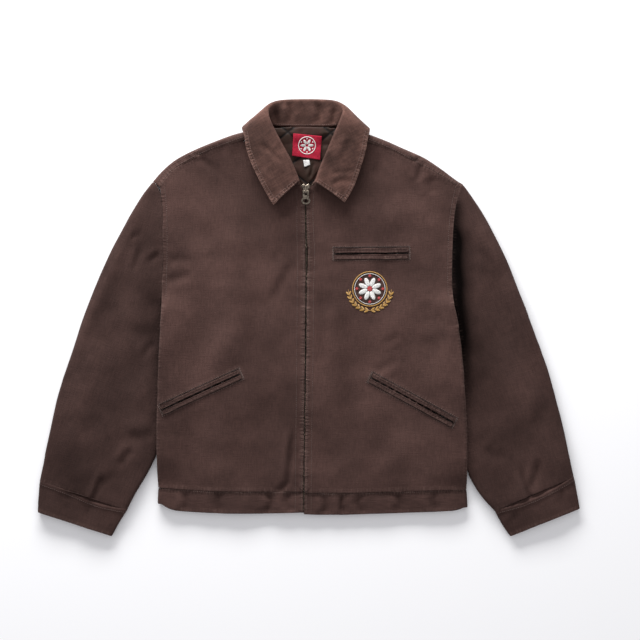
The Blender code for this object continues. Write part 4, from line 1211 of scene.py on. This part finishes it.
def brassMaterial(name, base, dull):
    material, shader = newMaterial(name, 0.36, Metallic=1.0)
    place = addNode(material, "TexCoord").outputs["Object"]
    patina = noiseAt(material, place, (260.0, 260.0, 260.0), 4.0, 0.6)
    tone = blendColour(material, stretch(material, patina, 0.38, 0.66), colour(base), colour(dull))
    scratches = noiseAt(material, place, (900.0, 2400.0, 900.0), 2.0)
    plug(material, shader, Base_Color=tone, Roughness=stretch(material, patina, 0.35, 0.7, 0.26, 0.55),
         Normal=bumpOf(material, scratches, 0.0002, 0.5))
    return material


agedBrass = brassMaterial("aged_brass", (0.30, 0.255, 0.20), (0.07, 0.055, 0.045))
# the teeth are the same aged brass, darkened as painted shade for the shadowed gap they lie in
toothBrassPaintedShade = brassMaterial("tooth_brass_painted_shade", (0.10, 0.08, 0.06), (0.03, 0.024, 0.02))


def makeTeeth():
    bpy.ops.mesh.primitive_cube_add(size=1.0, location=(0, 0, 0))
    template = bpy.context.object
    onlySelect(template)
    bpy.ops.object.mode_set(mode="EDIT")
    bpy.ops.mesh.bevel(offset=0.16, segments=1, affect="EDGES")
    bpy.ops.object.mode_set(mode="OBJECT")
    unit = np.array([v.co for v in template.data.vertices]) * np.array(zipper["tooth"])
    copies = []

    def row(path, side, height, shift):
        middles, ways = along(path, zipper["pitch"])
        for (x, y), (dx, dy) in zip(middles, ways):
            x, y = x + dx * shift, y + dy * shift
            u, v = unit[:, 0] + side * 0.85, unit[:, 1]
            copies.append(np.stack([x + u * dy + v * dx, y - u * dx + v * dy, unit[:, 2] + height], axis=1))

    row(zipper["chain"], -1, zipper["height"], 0.0)
    row(zipper["chain"], 1, zipper["height"], zipper["pitch"] / 2)
    for path in (zipper["openRight"], zipper["openLeft"]):
        row(path, 0, zipper["openHeight"], 0.0)
    return joinCopies("zipTeeth", template, copies)


made["teeth"] = finish(makeTeeth(), "jacket", "zip_metal", toothBrassPaintedShade, "zip_chain")


def shaped(factors, middle, bevel=0.0, segments=2):
    # gives the primitive just added its size and place in edit mode
    shape = bpy.context.object
    onlySelect(shape)
    bpy.ops.object.mode_set(mode="EDIT")
    bpy.ops.transform.resize(value=factors)
    bpy.ops.transform.translate(value=tuple(v * mm for v in middle))
    if bevel:
        bpy.ops.mesh.bevel(offset=bevel * mm, segments=segments, affect="EDGES")
    bpy.ops.object.mode_set(mode="OBJECT")
    return shape


def block(middle, size, bevel, segments=2):
    bpy.ops.mesh.primitive_cube_add(size=1.0, location=(0, 0, 0))
    return shaped(tuple(v * mm for v in size), middle, bevel, segments)


def oval(middle, size, vertices):
    x, y, depth = (v * mm for v in size)
    bpy.ops.mesh.primitive_cylinder_add(vertices=vertices, radius=1.0, depth=depth, location=(0, 0, 0))
    return shaped((x, y, 1.0), middle)


def joinAll(name, shapes):
    bpy.ops.object.select_all(action="DESELECT")
    for shape in shapes:
        shape.select_set(True)
    bpy.context.view_layer.objects.active = shapes[0]
    bpy.ops.object.join()
    shapes[0].name = name
    return shapes[0]


def makeSlider():
    x, y, z = zipper["slider"]
    body = block((x, y - 0.5, z), (9.6, 15.0, 3.5), 1.1, 3)
    points = readPoints(body)       # narrow below, shoulders above
    points[:, 0] = x + (points[:, 0] - x) * (1.0 + 0.22 * np.clip((points[:, 1] - y) / 7.5, -1, 1))
    writePoints(body, points)
    shapes = [body]
    for side in (-1, 1):
        bpy.ops.mesh.primitive_uv_sphere_add(segments=20, ring_count=12, radius=1.0, location=(0, 0, 0))
        shapes.append(shaped((4.0 * mm, 4.6 * mm, 2.0 * mm), (x + side * 3.8, y + 4.9, z)))
    shapes.append(block((x, y - 0.4, z + 5.3), (2.6, 12.8, 1.4), 0.5, 3))
    shapes.append(block((x, y - 6.0, z + 3.6), (2.6, 1.7, 4.4), 0.45))
    shapes.append(block((x, y + 5.1, z + 3.6), (2.6, 1.9, 4.4), 0.45))
    return joinAll("zipSlider", shapes)


def makePull():
    # drawn flat with the bar at the origin, then tilted and put in place
    pull = oval((0, -16.3, 0), (7.7, 6.3, 1.8), 48)
    stem = block((0, -7.2, 0), (11.2, 17.0, 1.8), 0.7, 3)
    points = readPoints(stem)
    points[:, 0] *= 1.0 - 0.10 * np.cos(np.clip((points[:, 1] + 8) / 9, -1, 1) * math.pi / 2)
    writePoints(stem, points)
    hole = oval((0, -16.6, 0), (4.8, 3.3, 6.0), 40)
    slot = block((0, -3.9, 0), (4.8, 5.8, 6.0), 0.9, 3)
    applyModifier(pull, "BOOLEAN", operation="UNION", solver="EXACT", object=stem)
    applyModifier(pull, "BOOLEAN", operation="DIFFERENCE", solver="EXACT", object=hole)
    applyModifier(pull, "BOOLEAN", operation="DIFFERENCE", solver="EXACT", object=slot)
    for tool in (stem, hole, slot):
        bpy.data.objects.remove(tool)
    applyModifier(pull, "BEVEL", width=0.4 * mm, segments=3, limit_method="ANGLE",
                  angle_limit=math.radians(40))
    points = readPoints(pull)
    a = math.radians(zipper["tilt"])
    y, z = points[:, 1].copy(), points[:, 2].copy()
    points[:, 1], points[:, 2] = y * math.cos(a) - z * math.sin(a), y * math.sin(a) + z * math.cos(a)
    writePoints(pull, points + np.array(zipper["bar"]))
    pull.name = "zipPull"
    return pull


made["slider"] = finish(makeSlider(), "jacket", "zip_metal", agedBrass, "zip_slider")
made["pull"] = finish(makePull(), "pull_tab", "zip_metal", agedBrass, "zip_pull")
for piece in (made["slider"], made["pull"]):
    onlySelect(piece)
    bpy.ops.object.shade_smooth_by_angle(angle=math.radians(35))

# the tape is darkened as painted shade for the gap it lies in
zipTapePaintedShade = wovenMaterial("zip_tape_weave_painted_shade", (0.040, 0.024, 0.020), 0.0009, 0.85)
for node in ("zip_tape_right", "zip_tape_left"):
    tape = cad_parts[node]
    tape.data.materials.clear()
    tape.data.materials.append(zipTapePaintedShade)
print("zip made")


bpy.ops.mesh.primitive_plane_add(size=1.0, location=(0.0, 0.0, 0.0))
floor = bpy.context.object
floor.name = "floor"
onlySelect(floor)
bpy.ops.transform.resize(value=(9.0, 9.0, 1.0))
bpy.ops.object.transform_apply(location=True, rotation=True, scale=True)
floorMaterial, floorShader = newMaterial("paper", 0.95, Specular_IOR_Level=0.0)
floorShader.inputs["Base Color"].default_value = (0.95, 0.95, 0.955, 1.0)
floor.data.materials.append(floorMaterial)
